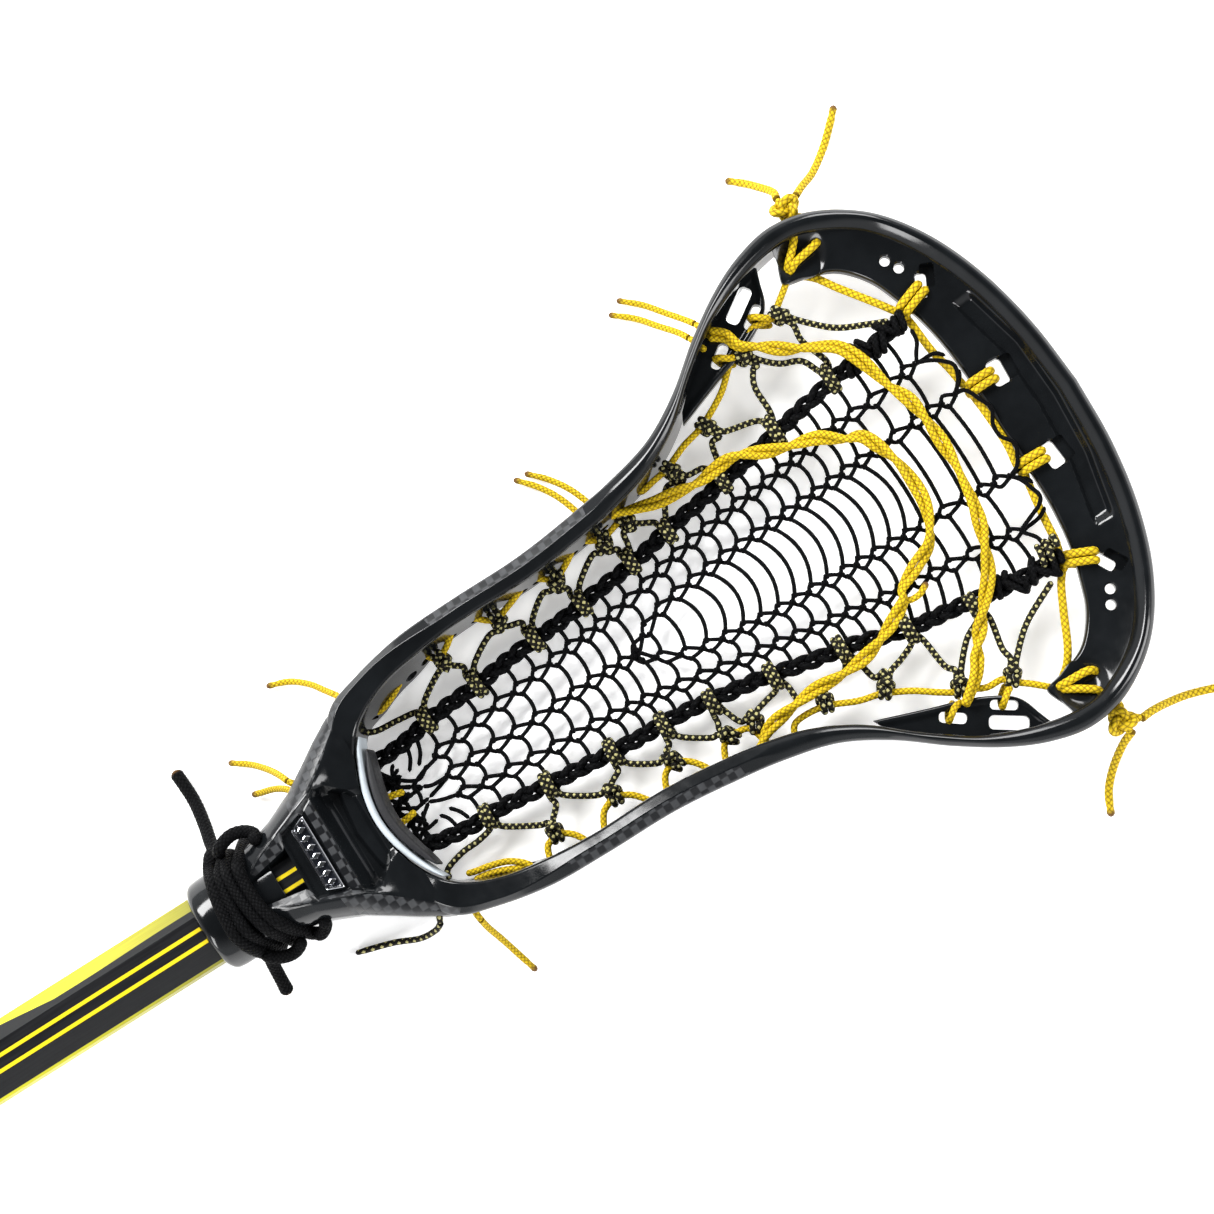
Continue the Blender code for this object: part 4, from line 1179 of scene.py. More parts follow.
# Top string: plan points and heights; each slot is passed by two turns side by side.
TOP_RUNS = [
    ("go", 203.5, 77, -2.4), ("go", 206, 75.4, -3.0), ("go", 210, 71.6, -2.4), ("go", 213.5, 65.5, -0.6),
    ("go", 217.5, 59.5, 0.2), ("go", 222, 53, 0.4), ("slot", 226.6, 47.6, 237.4, 51.2),
    ("go", 226.8, 41, 0.4),
    ("go", 227.4, 32, 0.3), ("go", 228.8, 25, 0.4), ("slot", 231, 15.6, 241, 15.5), ("go", 230.8, 8, 0.3),
    ("go", 231, 0, 0.4), ("go", 230.8, -6, 0.3), ("slot", 231, -13.6, 240.6, -14), ("go", 229.4, -21, 0.4),
    ("go", 228, -30, 0.3), ("go", 227, -38, 0.4), ("slot", 226.2, -44.6, 236.4, -49.4),
    ("go", 221.6, -49.5, 0.4),
    ("go", 217, -58, 0.2), ("go", 213, -66.4, -0.8), ("go", 209.6, -71.6, -2.4), ("go", 206, -74.6, -3.0),
    ("go", 203.4, -76.4, -2.4),
]


def make_top_string():
    skin = Skin()
    points = []
    for kind, x, y, *more in TOP_RUNS:
        if kind == "go":
            points.append((x, y, more[0]))
            continue
        far_x, far_y = more
        ahead = np.array([far_x - x, far_y - y])
        ahead = ahead / np.linalg.norm(ahead)
        beside = np.array([ahead[1], -ahead[0]])
        far = math.hypot(far_x - x, far_y - y) - 2.3
        for offset in (-1.45, 1.35):
            for reach, rise in ((-1.2, 0.8), (0.4, 3.2), (far * 0.5, 4.3), (far - 1.3, 4.5), (far - 0.1, 3.2),
                                (far + 0.1, 0.2), (far - 2.2, -2.6), (far * 0.45, -3.0), (0.2, -2.6)):
                p = np.array([x, y]) + ahead * reach + beside * offset
                points.append((p[0], p[1], rise))
    line = even(smooth_curve(points, 10), 0.5)
    skin.tube(line, TOP_CORD / 2 * 0.96)
    # In each corner the string comes up through the tab's hole and parts as a V towards the rim.
    for sign, corner in ((1, [(204.2, 77.0, -2.6), (203.6, 78.0, 0.8), (205.0, 79.6, 3.2), (207.6, 82.0, 3.8),
                              (210.4, 85.2, 3.6), (212.0, 88.4, 1.0), (212.8, 92.6, -2.2)]),
                         (1, [(204.6, 76.6, -2.6), (204.2, 77.2, 0.8), (206.4, 78.2, 3.4), (210.4, 78.9, 4.0),
                              (214.4, 79.6, 4.2), (216.4, 81.0, 1.6), (216.8, 84.0, -2.4),
                              (216.0, 92.6, -2.6)]),
                         (-1,
                          [(204.0, 76.0, -2.6), (203.4, 76.2, 0.8), (205.6, 76.3, 3.3), (209.4, 76.4, 3.9),
                               (213.2, 76.8, 4.1), (215.4, 78.4, 1.6), (216.4, 82.0, -2.4),
                               (216.0, 92.6, -2.6)]),
                         (-1,
                          [(204.4, 77.0, -2.6), (203.9, 77.4, 0.8), (206.2, 78.9, 3.2), (209.4, 81.0, 3.8),
                               (212.4, 83.4, 3.8), (213.8, 86.8, 1.0), (213.4, 92.6, -2.2)])):
        skin.tube(route(mirrored(corner, sign), 0.5), TOP_CORD / 2 * 0.96)
    skin.build("top_string_cord", [YELLOW], "yellow_cord", "top_string")


def make_corner_knots():
    for name, sign in (("left_corner_knot", 1), ("right_corner_knot", -1)):
        t = np.linspace(0, 2 * math.pi, 120, endpoint=False)
        wide = 1.28
        loop = np.column_stack([213.6 + wide * (np.sin(t) + 2 * np.sin(2 * t)) * 1.1,
                                sign * (95.0 + 0.86 * wide * (np.cos(t) - 2 * np.cos(2 * t))),
                                0.4 - 1.55 * np.sin(3 * t)])
        skin = Skin()
        closed = np.vstack([loop, loop[:2]])
        skin.tube(closed, TOP_CORD / 2, ends=(False, False))
        for points in ([(212.6, 92.6, -2.0), (213, 95.6, 0.6), (213, 99.3, 0.2)],
                       [(215.2, 92.4, -2.0), (216.4, 95.2, 0.6), (218.6, 97, 0.1)]):
            if sign < 0:
                points = [(x, -y, z) for x, y, z in points]
                points[-1] = (214.6, -99.4, 0.1) if points[0][0] < 214 else (219.4, -97.6, 0.1)
            skin.tube(route(points, 0.4), TOP_CORD / 2 * 0.97)
        skin.build(name + "_cord", [YELLOW], "yellow_cord", name)


def make_neck_cord():
    """Cord wound round the neck, its turns crossing each other on top."""
    def over(points, lift=0.0):
        out = []
        for x, y in points:
            half = along(FLARE, x) + 2.2
            share = min(abs(y) / half, 1)
            top = np.interp(x, [-50, -48, -44, -40, -34, -24], [17.4, 17.2, 16.6, 16.8, 17.8, 18.6])
            z = top * (1 - share ** 2.7) ** (1 / 2.7) if share < 1 else 0
            out.append((x, y, z + lift))
        return out

    def under(x0, x1):
        half = (along(FLARE, x0) + along(FLARE, x1)) / 2 + 1.9
        steps = ((-1, -5.5), (-0.8, -12), (-0.3, -15.7), (0.3, -15.7), (0.8, -12), (1, -5.5))
        return [(x0 + (x1 - x0) * i / 5, half * a, z) for i, (a, z) in enumerate(steps)]

    strands = [
        [(-47.4, 14.6), (-47.2, 10), (-48, 4), (-48.6, -2), (-48.8, -8), (-47.4, -13.4), (-45, -17)],
        [(-42.5, 15.4), (-44.4, 10), (-45, 4), (-45.4, -2), (-45.2, -9), (-43, -15.6)],
        [(-40.6, 15.6), (-41.6, 10), (-41.8, 5), (-41.5, 0), (-40.8, -6), (-39.2, -11.6), (-37, -17)],
        [(-35.2, 17), (-37.4, 10.4), (-38.3, 5), (-38.2, 0), (-37.6, -6), (-35.6, -11.4), (-32, -17),
         (-29, -19.6)],
    ]
    whole = [(-44.4, 19.8, 0.2), (-45.6, 18.6, 4.0)]
    for i, strand in enumerate(strands):
        whole += over(strand, 0.0 if i != 2 else 0.4)
        if i + 1 < len(strands):
            whole += under(strand[-1][0] + 0.6, strands[i + 1][0][0] - 0.6)
    skin = Skin()
    skin.tube(even(smooth_curve(whole, 10), BRAID_STEP), NECK_CORD / 2, sides=NECK_SIDES, plait=2,
              braid=NECK_BRAID)
    # Loose bight on the left, a loop and a short end on the right.
    for points, burn in (
        ([(-42.4, 16.6, 9), (-40.4, 18.2, 11.8), (-37.6, 19.4, 12.2), (-34.4, 19.8, 11.6), (-31, 18.6, 11.4),
          (-28.8, 16.2, 12.4), (-29.6, 13.6, 15.6)], 0),
        ([(-46.4, -15.6, 8.2), (-44.2, -18.6, 6.4), (-40, -20.4, 5.4), (-36.6, -20.2, 5.8),
          (-33.4, -18.4, 8.0)], 0),
        ([(-30.4, -19.4, 4.4), (-27.6, -20, 5.8), (-25, -18.6, 8.2), (-24.6, -17.2, 11.0)], 0),
        ([(-45.2, -17.2, 5.4), (-46.2, -19.4, 2.6), (-47, -22.4, -0.4), (-48.4, -29.6, -5.4)], 1.2),
    ):
        line = route(points, BRAID_STEP)
        radius = np.full(len(line), NECK_CORD / 2 * 0.98)
        if burn:
            away = np.linspace(run_length(line), 0, len(line))
            radius *= 1 + 0.25 * np.exp(-away / 1.6)
        skin.tube(line, radius, sides=NECK_SIDES, plait=2, burn=burn, braid=NECK_BRAID)
    skin.build("neck_wrap", [BLACK_CORD], "black_cord", "neck_cord")


# --- head -----------------------------------------------------------------------------------

def fillet(keys, per=5):
    """Closed section with each corner (across, height, radius) rounded by a short curve."""
    keys = np.array(keys, float)
    out = []
    for i, (x, y, radius) in enumerate(keys):
        here = np.array([x, y])
        before, after = keys[i - 1][:2] - here, keys[(i + 1) % len(keys)][:2] - here
        a = min(radius, 0.46 * np.linalg.norm(before))
        b = min(radius, 0.46 * np.linalg.norm(after))
        start = here + before / np.linalg.norm(before) * a
        end = here + after / np.linalg.norm(after) * b
        out += corner_curve(start, here, end, per)
    return np.array(out)


def rim_section(x, y, width):
    """Section of the rim: two top facets meeting at a ridge, over a wall that stands back outside."""
    scoop = float(ramp(x, 150, 236))
    bead = float(ramp(x, 112, 126))
    sunk = 1 - float(ramp(x, -1, 5.5))
    near = float(ramp(x, 5, 14)) * (1 - float(ramp(x, 26, 50)))
    low = LOW + 0.1 + (-5 - LOW) * float(ramp(x, 146, 232))
    top = RIM_TOP - 2.6 * sunk
    ridge = 0.26 + 0.26 * float(ramp(x, 24, 56)) + 0.02 * bead - 0.12 * scoop
    blend = float(ramp(x, 205, 238))
    w = width
    wall_in = w * (0.97 - 0.05 * scoop) + 2.6 * near
    return fillet([
        (0.05, top - 4.6, 0.7),
        (0.2, top - 2.3 - 0.2 * bead, 0.9 + 0.7 * bead),
        (w * ridge, top, 0.35 + 2.6 * bead),
        (w - 0.35, top - 1.5 - 0.3 * bead - 1.9 * blend, 0.8 + 0.9 * bead),
        (w, top - 4.2 - 0.4 * blend, 0.8),
        (w * 0.86, top - 7.6, 1.5),
        (wall_in, low + 1.5, 0.9),
        (wall_in - 1.3 - 0.4 * near, low, 0.6),
        (w * 0.45, low, 0.6),
        (w * 0.34, low + 2.4, 1.0),
        (w * 0.28, top - 8.8 + 1.6 * scoop, 1.6),
        (0.7, top - 6.2, 0.7),
    ])


def make_rim():
    half = smooth_curve(RIM, 14)
    ring = np.vstack([half, half[1:-1][::-1] * [1, -1, 1, -1]])
    rings, slots = [], []
    for xo, yo, xi, yi in ring:
        outer, inner = np.array([xo, yo]), np.array([xi, yi])
        width = np.linalg.norm(inner - outer)
        across = (inner - outer) / width
        section = rim_section(xo, yo, width)
        rings.append([(*(outer + across * a), z) for a, z in section])
        # The outer facet wears the woven film between its slanted ends.
        faces = np.zeros(len(section), int)
        for k in range(len(section)):
            a, z = (section[k] + section[(k + 1) % len(section)]) / 2
            if z > RIM_TOP - 2.9 and a < width * (0.24 if xo < 30 else 0.5):
                slant = xo + a * 0.9
                if 50.5 < slant < 111 or 1 < slant < 13:
                    faces[k] = FILM
            if 6 < xo < 40 and z < -10 and a > width * 0.7:
                faces[k] = GREY
        slots.append(faces)
    return loft(rings, closed=True, slots=np.array(slots))


RIDGE = [(-50, 4.6), (-44, 5.0), (-35, 6.6), (-31, 8.7), (-24, 11.4), (-18, 13.7), (-8, 17.8), (-5, 19.8),
         (0, 24),
         (6, 29.2), (12, 34.2), (20, 38)]
RIDGE_TOP = [(-50, 13.3), (-44, 14.4), (-36, 15.4), (-24, 16.6), (-14, 16.4), (-8, 15.4), (-4, 13.6), (0, 12),
             (6, 10.6), (12, 9.9), (20, 9.4)]
FLANK_TOP = [(-50, 8.6), (-36, 9.6), (-24, 10.2), (-8, 9.4), (0, 7.8), (8, 6.6), (20, 5.4)]


MIDDLE = [
    (-50, 13.4), (-40, 14.4), (-37.7, 14.5), (-37.0, 8.8), (-23.3, 8.8), (-22.6, 15.2), (-21.9, 15.3),
    (-21.3, 14),
    (-12.1, 14), (-11.8, 14.9), (-8.4, 14.3), (-7.4, 11.4), (-6.0, 7.6), (-4.0, 5.6), (-1, 5.4), (1.6, 6.4),
    (3.4, 7.5),
    (6, 7.8), (20, 7.8),
]
GATE = [
    (-50, 0.6), (-38.4, 0.8), (-37.4, 4.0), (-23.2, 6.5), (-22.2, 8.2), (-21.4, 11.0), (-12, 13.9),
    (-8.6, 16.0),
    (-6, 17.2), (-3, 16.4), (0, 13.6), (2.5, 11.4), (6, 10.6), (20, 10),
]


def throat_lines(x):
    """Distances from the middle of the throat's creases at x: foot and head of the inner wall, crest, flank."""
    gate, wall = along(GATE, x), 0.42 + 0.9 * float(ramp(x, -8, -3))
    crest, half = along(RIDGE, x), along(FLARE, x)
    return gate - min(wall, gate * 0.5), min(gate + wall, crest - 0.4), crest, half


def throat_top(x, a):
    """Height of the throat's upper face at distance a from its middle."""
    foot, head, ridge, half = throat_lines(x)
    crest, flank, middle = along(RIDGE_TOP, x), along(FLANK_TOP, x), along(MIDDLE, x)
    fade = float(ramp(x, 6, 9))
    inner = crest - 1.5 - 0.4 * float(ramp(x, -8, 2))
    if a >= ridge:
        share = (a - ridge) / (half - ridge)
        z = crest + (flank - crest) * (0.7 * share + 0.3 * share ** 4)
    elif a >= head:
        z = crest + (inner - crest) * (ridge - a) / (ridge - head)
    elif a > foot:
        z = middle + (inner - middle) * (a - foot) / (head - foot)
    else:
        z = middle
    return z - 0.3 * math.exp(-((a - ridge) / 0.6) ** 2) - 0.5 * fade


def throat_slot(x, a, z):
    """Woven film on the strip beside the badge, the arms' inner facets and the flanks."""
    foot, head, ridge, half = throat_lines(x)
    if -11.7 < x < -8.6 and a < foot - 0.2:
        return FILM
    if -35 < x < -9 and head < a < ridge - 0.3:
        return FILM
    if -16 < x < 9 and ridge + 0.4 < a and z > 8.4:
        return FILM
    return PLAIN


def make_throat():
    """Loft over the throat's plan, its grid lines following the creases up to the ball stop's arc."""
    cross = np.concatenate([np.linspace(-50, -37.9, 24), np.linspace(-37.7, -37.0, 4),
                            np.linspace(-36.7, -23.6, 34),
                            np.linspace(-23.3, -22.6, 4), np.linspace(-22.5, -21.3, 5),
                            np.linspace(-21, -12.3, 22),
                            np.linspace(-12.1, -11.8, 3), np.linspace(-11.5, -8.6, 9)])
    late = np.linspace(0, 1, 44)[1:]
    rows = len(cross) + len(late)
    arc = smooth_curve(RIM[:6], 20)
    arc_x, arc_y = arc[:, 2], arc[:, 3]
    spans = (22, 5, 14, 24)

    def offsets(x):
        lines = (0.0,) + throat_lines(x)
        out = [np.linspace(lines[k], lines[k + 1], spans[k], endpoint=False) for k in range(4)]
        return np.append(np.concatenate(out), lines[4])

    count = sum(spans) + 1
    reach = np.linspace(-50, 9.4, 500)
    all_offsets = np.array([offsets(x) for x in reach])
    plan = np.zeros((rows, count, 2))
    for k in range(count):
        limit = np.interp(all_offsets[:, k], arc_y, arc_x)
        hit = np.nonzero(reach > limit - 0.1)[0]
        end = reach[hit[0]] if len(hit) else 9.4
        xs = np.append(cross, -8.6 + (end + 8.6) * late)
        plan[:, k, 0] = xs
        plan[:, k, 1] = np.interp(xs, reach, all_offsets[:, k])
    rings, slots = [], []
    for r in range(rows):
        top, low = [], []
        for k in range(count):
            x, a = plan[r, k]
            half = along(FLARE, x)
            edge = (a / half) ** 16
            depth = float(np.interp(x, [-50, -33, -24, -14, -6, 20], [12.8, 13.2, 15, 16.5, 17.5, 17.7]))
            top.append((x, a, throat_top(x, a) - 0.8 * edge))
            low.append((x, a, -depth * (1 - 0.5 * (a / half) ** 5)))
        down = []
        for q in np.linspace(0, 1, 11)[1:-1]:
            p = np.array(top[-1]) + (np.array(low[-1]) - np.array(top[-1])) * q
            down.append((p[0], p[1] + 0.8 * math.sin(math.pi * q), p[2]))
        half_ring = np.array(top + down + low[::-1][::3] + ([low[0]] if (count - 1) % 3 else []))
        mirror = half_ring[1:-1][::-1] * [1, -1, 1]
        rings.append(np.vstack([half_ring, mirror]))
        n, m = len(half_ring), len(rings[-1])
        faces = np.zeros(m, int)
        for k in range(count - 1):
            x, a, z = (np.array(top[k]) + np.array(top[k + 1])) / 2
            faces[k] = faces[m - 1 - k] = throat_slot(x, a, z)
        slots.append(faces)
    return loft(rings, slots=np.array(slots)[:-1])


def make_socket():
    """Collar and neck, turned about the shaft's axis."""
    keys = [(-57.9, 11.7, 0.3), (-57.9, 13.2, 0.9), (-56.6, 14.9, 1.2), (-53.5, 15.3, 2.0),
            (-49.4, 15.2, 1.6),
            (-46.8, 14.6, 1.4), (-45.8, 13.3, 0.8), (-30, 13.1, 0.3), (-30, 11.7, 0.3)]
    section = fillet(keys, 6)
    return loft([[(x, r * math.cos(t), r * math.sin(t)) for x, r in section] for t in circle(96)],
                closed=True)


def make_panel():
    """Scoop panel: slopes from the bead to the lip, with a long trough and a stiffening crease."""
    lip, outer = smooth_curve(LIP, 16), smooth_curve(BEAD, 16)
    lip = np.vstack([lip, lip[:-1][::-1] * [1, -1]])
    outer = np.vstack([outer, outer[:-1][::-1] * [1, -1]])
    rings = []
    shares = np.concatenate([np.linspace(0, 0.94, 54), [0.96, 0.985, 1.0]])
    for (xl, yl), (xo, yo) in zip(lip, outer):
        ring = []
        for q in shares:
            x, y = xo + (xl - xo) * q, yo + (yl - yo) * q
            z = 7.2 - 5.4 * q ** 0.62
            if q > 0.94:
                z -= 0.9 * ((q - 0.94) / 0.06) ** 2
            # Trough between the slots and the bead.
            centre = along([(-42, 242), (-20, 247), (0, 248.6), (20, 248), (42, 243)], y)
            ends = float(ramp(y, -41, -38.5)) * (1 - float(ramp(y, 39, 41.5)))
            away = abs(x - centre)
            if x > 225:
                z -= 2.0 * (1 - float(ramp(away, 1.9, 3.7))) * ends
            # Well round each corner's holes.
            corner = math.hypot(x - 209, abs(y) - 79.5)
            z -= 1.7 * (1 - float(ramp(corner, 4.5, 9.5)))
            ring.append((x, y, z))
        for q in shares[::-4]:
            x, y = xo + (xl - xo) * q, yo + (yl - yo) * q
            ring.append((x, y, -1.9 + 4.4 * (1 - q) ** 1.4))
        rings.append(ring)
    return loft(np.array(rings)[:, ::-1])


def make_strut(sign):
    """Slotted web inside each corner, with a raised rounded edge towards the pocket."""
    edge = even(smooth_curve(STRUT, 10), 0.8)
    back = smooth_curve([(152, 58.5), (163, 69), (172, 76.4), (181, 82.4), (187, 85.6), (192, 88),
                         (197, 88.6)], 10)
    back = even(back, run_length(back) / (len(edge) - 1))
    rings = []
    for (xe, ye), (xb, yb) in zip(edge, back):
        width = math.hypot(xb - xe, yb - ye)
        section = fillet([(0, -5.6, 0.8), (0, -1.6, 1.0), (1.4, -1.2, 0.8), (3.0, -2.2, 0.8),
                          (width, -2.2, 0.3),
                          (width, -5.4, 0.3)], 5)
        ring = []
        for across, z in section:
            q = across / width
            ring.append((xe + (xb - xe) * q, sign * (ye + (yb - ye) * q), z))
        rings.append(ring[::-sign])
    return loft(rings)


def make_tab(sign):
    """Small web that carries the string's holes, from the panel's end to the strut."""
    outline = smooth_curve([(206.5, 88.4), (203.6, 84.8), (201.6, 81), (199.9, 76.8), (199.9, 75.0),
                            (201.4, 74.2),
                            (205.5, 73.4), (211, 71.6), (214, 75), (214, 84), (212, 88.4)], 8)
    centre = outline.mean(0)
    rings = []
    for z, inset in ((-2.0, 0.5), (-1.5, 0.1), (0.9, 0.0), (1.5, 0.3), (1.7, 0.9)):
        rings.append([(*(p + (centre - p) / np.linalg.norm(centre - p) * inset), z) for p in outline])
    rings = [mirrored(ring, sign)[::-sign] for ring in rings]
    return loft(rings)


def plain_object(skin, name):
    """Part of the shell, ready to be cut and joined."""
    mesh = skin.mesh(name, SHELL_LOOKS)
    fix_normals(mesh)
    return link(name, mesh)


def side_hole(x, y, sign):
    """Cutter along y for a string hole, flared at the inner face."""
    rings = []
    for reach, radius in ((-7.5, 2.5), (-3.6, 1.7), (0, 1.6), (5, 1.7), (7, 2.4)):
        rings.append([(x + radius * math.cos(t), sign * (y + reach), HOLE_LEVEL + radius * math.sin(t))
                      for t in circle(16)])
    return rings


def make_head():
    rim = plain_object(make_rim(), "rim")
    holes = []
    for runs, sign in ((LEFT_SIDE_RUNS, 1), (RIGHT_SIDE_RUNS, -1)):
        ends = [abs(run[k][0]) for run in runs for k in (0, -1)]
        for x in ends:
            if 16 < x < 150:
                holes.append(side_hole(x, along(OUTER_WALL, x) - 1.2, sign))
    for x in (112, 107.4):
        holes.append(side_hole(x, along(OUTER_WALL, x) - 1.2, 1))
    # Neighbouring holes overlap, so every third is cut at a time.
    holes.sort(key=lambda hole: (hole[0][0][1] > 0, hole[0][0][0]))
    for start in range(3):
        carve(rim, holes[start::3])

    panel = plain_object(make_panel(), "panel")
    cuts, steps = [], []
    for sign in (1, -1):
        cuts += [
            spool(rounded_box(240.4, 15.3 * sign, 5.0, 8.4, -4 * sign, 1.3), -3.4, 3.2, 0.6),
            spool(rounded_box(235.4, 51.0 * sign, 3.4, 8.0, -27 * sign, 1.1), -3.4, 3.2, 0.6),
            spool(disc(232.5, 59.4 * sign, 1.65), -3.4, 3.4, 0.5),
            spool(disc(230, 63.6 * sign, 1.65), -3.4, 3.4, 0.5),
        ]
        # Shallow step beyond each slot towards the bead.
        steps.append([[(x, y, z) for x, y in rounded_box(243.6, 15.2 * sign, 5.6, 8.0, -4 * sign, 1.0)]
                      for z in (1.3, 8.0)])
        steps.append([[(x, y, z) for x, y in rounded_box(238.4, 52.6 * sign, 4.6, 7.4, -27 * sign, 1.0)]
                      for z in (1.6, 8.0)])
    for batch in (cuts, steps):
        carve(panel, batch)

    parts = [rim, panel, plain_object(make_throat(), "throat"), plain_object(make_socket(), "socket")]
    for sign in (1, -1):
        strut = plain_object(make_strut(sign), "strut")
        cuts = [
            spool(rounded_box(185, 77.4 * sign, 12.4, 4.4, 34 * sign, 1.6), -6.6, -1.4, 0.5),
            spool(rounded_box(186.6, 72.0 * sign, 8.6, 3.0, 34 * sign, 1.3), -6.6, -0.9, 0.4),
            spool(rounded_box(171.3, 67.0 * sign, 8.6, 3.4, 36 * sign, 1.4), -6.6, -1.0, 0.4),
        ]
        carve(strut, cuts)
        tab = plain_object(make_tab(sign), "tab")
        carve(tab, [spool(disc(203.6, 77.6 * sign, 1.7), -2.4, 2.0)])
        parts += [strut, tab]
    with bpy.context.temp_override(active_object=rim, object=rim, selected_objects=parts,
                                   selected_editable_objects=parts):
        bpy.ops.object.join()
    mesh = rim.data
    rim.name = mesh.name = "head_shell"
    for look in SHELL_LOOKS[len(mesh.materials):]:
        mesh.materials.append(look)
    soften(mesh, 38)
    steady = rim.modifiers.new("steady", "WEIGHTED_NORMAL")
    steady.keep_sharp = True
    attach(rim, "stick")
    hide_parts("head_frame")


# --- badge, pads, cap -----------------------------------------------------------------------

# Raised diamonds on the badge: their number, half of the row, half length and half width of one.
DIAMONDS, DIAMOND_REACH, DIAMOND_LENGTH, DIAMOND_WIDTH = 7, 9.2, 1.75, 1.12


def make_badge():
    """Dark plate in a bright frame, with a row of raised diamonds."""
    outer = [(-18.2, -10.6), (-12.6, -12.9), (-12.6, 12.9), (-18.2, 10.6)]

    def plate(corners, steps):
        c = np.array(corners, float)
        rings = []
        for z, inset in steps:
            pts = []
            for i in range(4):
                a, b = c[i - 1] - c[i], c[(i + 1) % 4] - c[i]
                a, b = a / np.linalg.norm(a), b / np.linalg.norm(b)
                here = c[i] + (a + b) * inset
                pts += corner_curve(here + a * 0.7, here, here + b * 0.7, 5)
            rings.append([(*p, z) for p in pts])
        return rings

    skin = loft(plate(outer,
                      [(14.1, 0.0), (15.5, 0.0), (15.9, 0.15), (16.05, 0.34), (15.95, 0.7), (15.3, 0.95),
                              (15.2, 1.1)]))
    # The slopes inside the bright edge are dark.
    per = 20
    skin.slots[-1][per * 5:] = 1
    for k in range(DIAMONDS):
        y = -DIAMOND_REACH + 2 * DIAMOND_REACH * k / (DIAMONDS - 1)
        rings = []
        for z, size in ((15.1, 1.0), (15.75, 1.0), (16.0, 0.86), (16.1, 0.6)):
            diamond = [(DIAMOND_LENGTH, 0), (0, DIAMOND_WIDTH), (-DIAMOND_LENGTH, 0), (0, -DIAMOND_WIDTH)]
            pts = []
            for i in range(4):
                a, b = np.array(diamond[i]) * size, np.array(diamond[(i + 1) % 4]) * size
                for t in (0.08, 0.5, 0.92):
                    p = a + (b - a) * t
                    pts.append((-15.4 + p[0], y + p[1], z))
            rings.append(pts)
        skin.rings(np.array(rings), np.arange(4))
    item = skin.build("badge_plate", [CHROME, BADGE], "chrome", "throat_badge", sharp=30)
    # The plate's middle is dark: its closing face sits in the second slot.
    low, high = place((0, 0, 15.0))[2], place((0, 0, 15.4))[2]
    for polygon in item.data.polygons:
        if len(polygon.vertices) == per and low < polygon.center.z < high:
            polygon.material_index = 1


def crescent_lines(inset, thickness, reach, step=0.5):
    arc = [(s[2], s[3]) for s in RIM[:5]]
    line = smooth_curve([(x, -y) for x, y in arc[:0:-1]] + arc, 24)
    line = line[np.abs(line[:, 1]) < reach]
    line = even(line, step)
    ahead = np.gradient(line, axis=0)
    normal = np.column_stack([ahead[:, 1], -ahead[:, 0]])
    normal /= np.linalg.norm(normal, axis=1)[:, None]
    share = np.abs(line[:, 1]) / reach
    taper = np.sqrt(np.clip(1 - share ** 6, 0.02, 1)) * (1 - 0.35 * share ** 3)
    near = line + normal * inset
    return near, normal, thickness * taper


def make_pad(name, slot, material, node, inset, thickness, reach, low, high, crown, ripple):
    """Foam strip glued round the arc: soft edges, crowned face, slight waves along it."""
    near, normal, thick = crescent_lines(inset, thickness, reach)
    rings = []
    for i, (p, n, w) in enumerate(zip(near, normal, thick)):
        wave = ripple * math.sin(i * 0.23) + ripple * 0.6 * math.sin(i * 0.61 + 1)
        fall = 1.6 * (abs(p[1]) / reach) ** 2
        section = fillet([(0, low, 0.3), (0, high - fall, 0.5), (w * 0.55, high + 0.35 - fall, 0.8),
                          (w, high - 0.25 - fall, 0.9), (w + crown + wave, (low + high) / 2, 6.0),
                          (w, low + 0.2, 0.9)], 6)
        rings.append([(*(p + n * a), z) for a, z in section])
    item = loft(rings).build(name, [material], slot, node)
    fix_normals(item.data)
    item.data.shade_smooth()


# Mouth of the cap, end of its octagonal pocket and half of the pocket's width.
CAP_MOUTH, POCKET_END, POCKET_HALF = -790, -814.9, 11.6


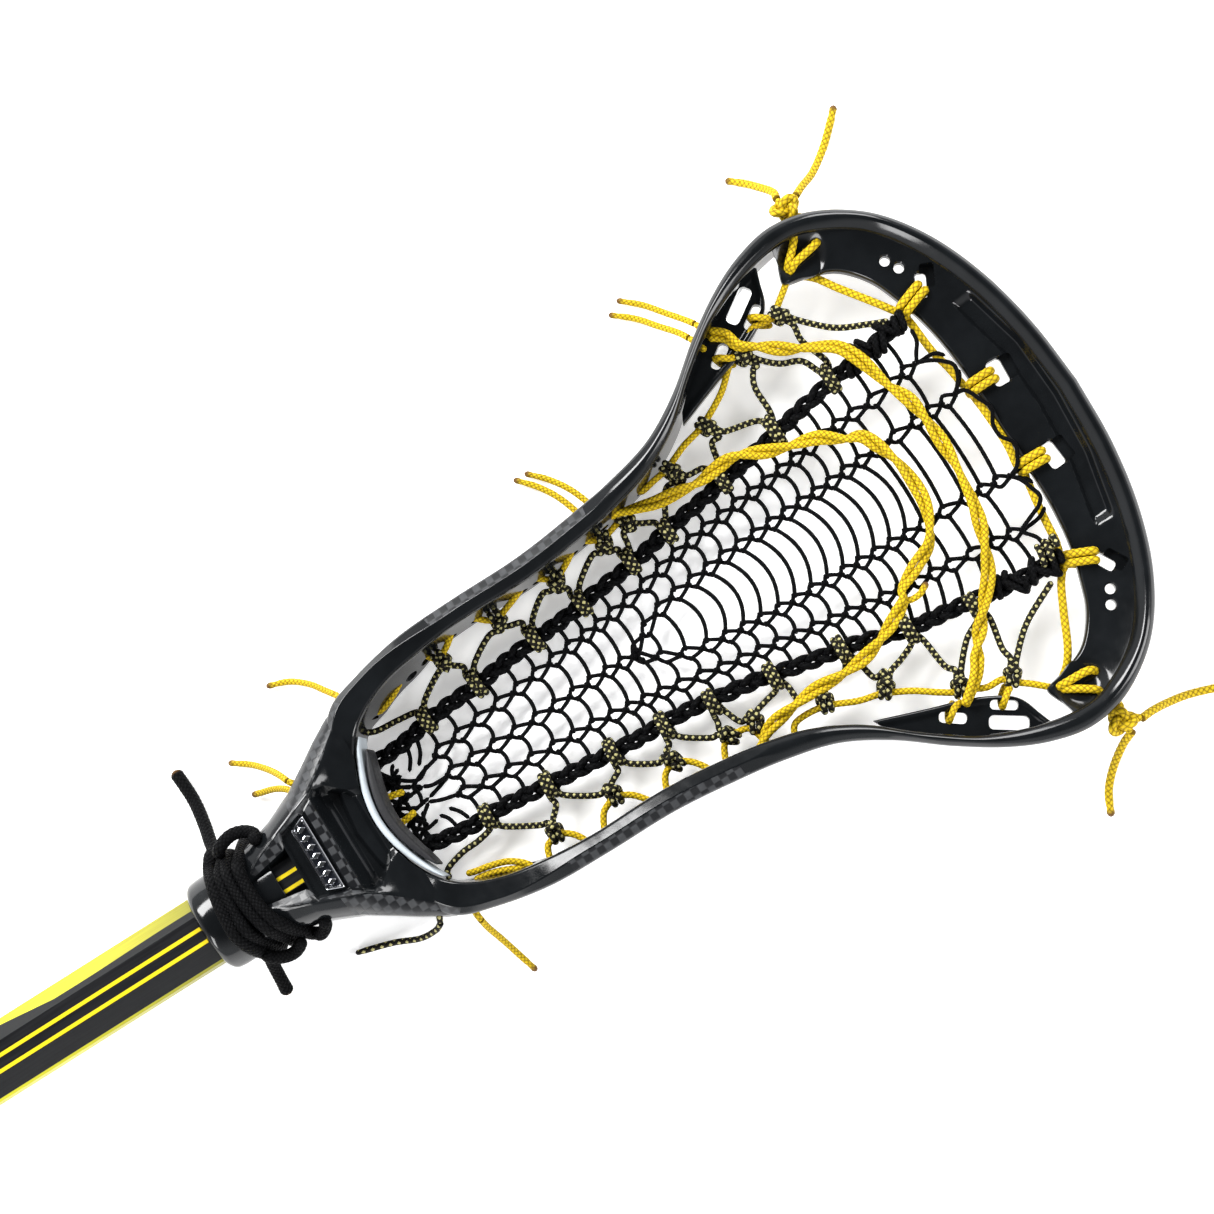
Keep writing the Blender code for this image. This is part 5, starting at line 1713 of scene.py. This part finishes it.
def make_cap():
    """Moulded rubber cap: rounded end, grip ribs, flat-bottomed ring grooves and a thin lip."""
    keys = [(-820, 0.0, 0), (-820, 9.0, 1.5), (-819.4, 13.4, 2.0), (-817.6, 16.2, 1.8), (-815, 18.0, 1.5),
            (-811, 18.05, 1.0), (-808.6, 18.0, 0.5)]
    for k in range(4):
        x = -808 + 3.4 * k
        keys += [(x, 17.6 - 0.75 * k, 0.25), (x + 0.4, 16.7 - 0.75 * k, 0.25),
                 (x + 1.4, 16.5 - 0.75 * k, 0.25),
                 (x + 1.8, 17.3 - 0.8 * k, 0.25)]
    keys += [(-792.6, 14.3, 0.8), (-790.3, 13.8, 0.7), (-790, 13.0, 0.4), (-790, 11.9, 0.2)]
    section = fillet(keys, 5)
    section[:, 1] = np.maximum(section[:, 1], 0.02)
    sides = 128
    t = circle(sides)
    rings = []
    for x, r in section[5:]:
        scallop = 0.0
        if -818 < x < -810:
            scallop = 0.28 * np.abs(np.sin(t * 8)) ** 6
        rings.append(np.column_stack([np.full(sides, x), (r - scallop) * np.cos(t),
                                      (r - scallop) * np.sin(t)]))
    # Inside the mouth: an octagonal pocket for the shaft.
    octagon = POCKET_HALF / np.cos(np.mod(t, math.pi / 4) - math.pi / 8)
    for x in (CAP_MOUTH, POCKET_END):
        rings.append(np.column_stack([np.full(sides, x), octagon * np.cos(t + math.pi / 8),
                                      octagon * np.sin(t + math.pi / 8)]))
    item = loft(rings).build("grip_cap", [RUBBER], "rubber", "butt_cap", body="cap", sharp=35)
    fix_normals(item.data)


def finish_cad_nodes():
    """Finishes for the frame's own pieces that stay visible: the tube and the screw."""
    for name, look, width in (("shaft", SHAFT, 0.0009), ("head_screw", STEEL, 0.0003)):
        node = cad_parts[name]
        node.data.materials.clear()
        node.data.materials.append(look)
        node.data.shade_smooth()
        bevel = node.modifiers.new("edges", "BEVEL")
        bevel.width, bevel.segments, bevel.limit_method, bevel.angle_limit = width, 4, "ANGLE", math.radians(30)
        bevel.harden_normals = True


make_net()
make_rail(LEFT_RAIL, "left_rail")
make_rail(RIGHT_RAIL, "right_rail")
make_side_string(LEFT_SIDE_RUNS, "left_sidewall_string", 1)
make_side_string([[(x, -y) for x, y in run] for run in RIGHT_SIDE_RUNS], "right_sidewall_string", -1)
make_lace(LEFT_LACE, "left_crosslace", 1)
make_lace(RIGHT_LACE, "right_crosslace", -1)
make_shooting(UPPER_SHOOTING, "upper_shooting_string", 4.4, 44)
make_shooting(LOWER_SHOOTING, "lower_shooting_string", 3.4, 38)
make_top_string()
make_corner_knots()
make_neck_cord()
make_head()
make_badge()
make_pad("foam_strip", "white_foam", PALE_FOAM, "ball_stop_foam", 0.5, 1.9, 26, -8, 8.0, 0.25, 0.06)
make_pad("foam_pad", "black_foam", DARK_FOAM, "ball_stop_pad", 3.1, 2.6, 23, -8, 6.6, 0.8, 0.1)
make_cap()
finish_cad_nodes()
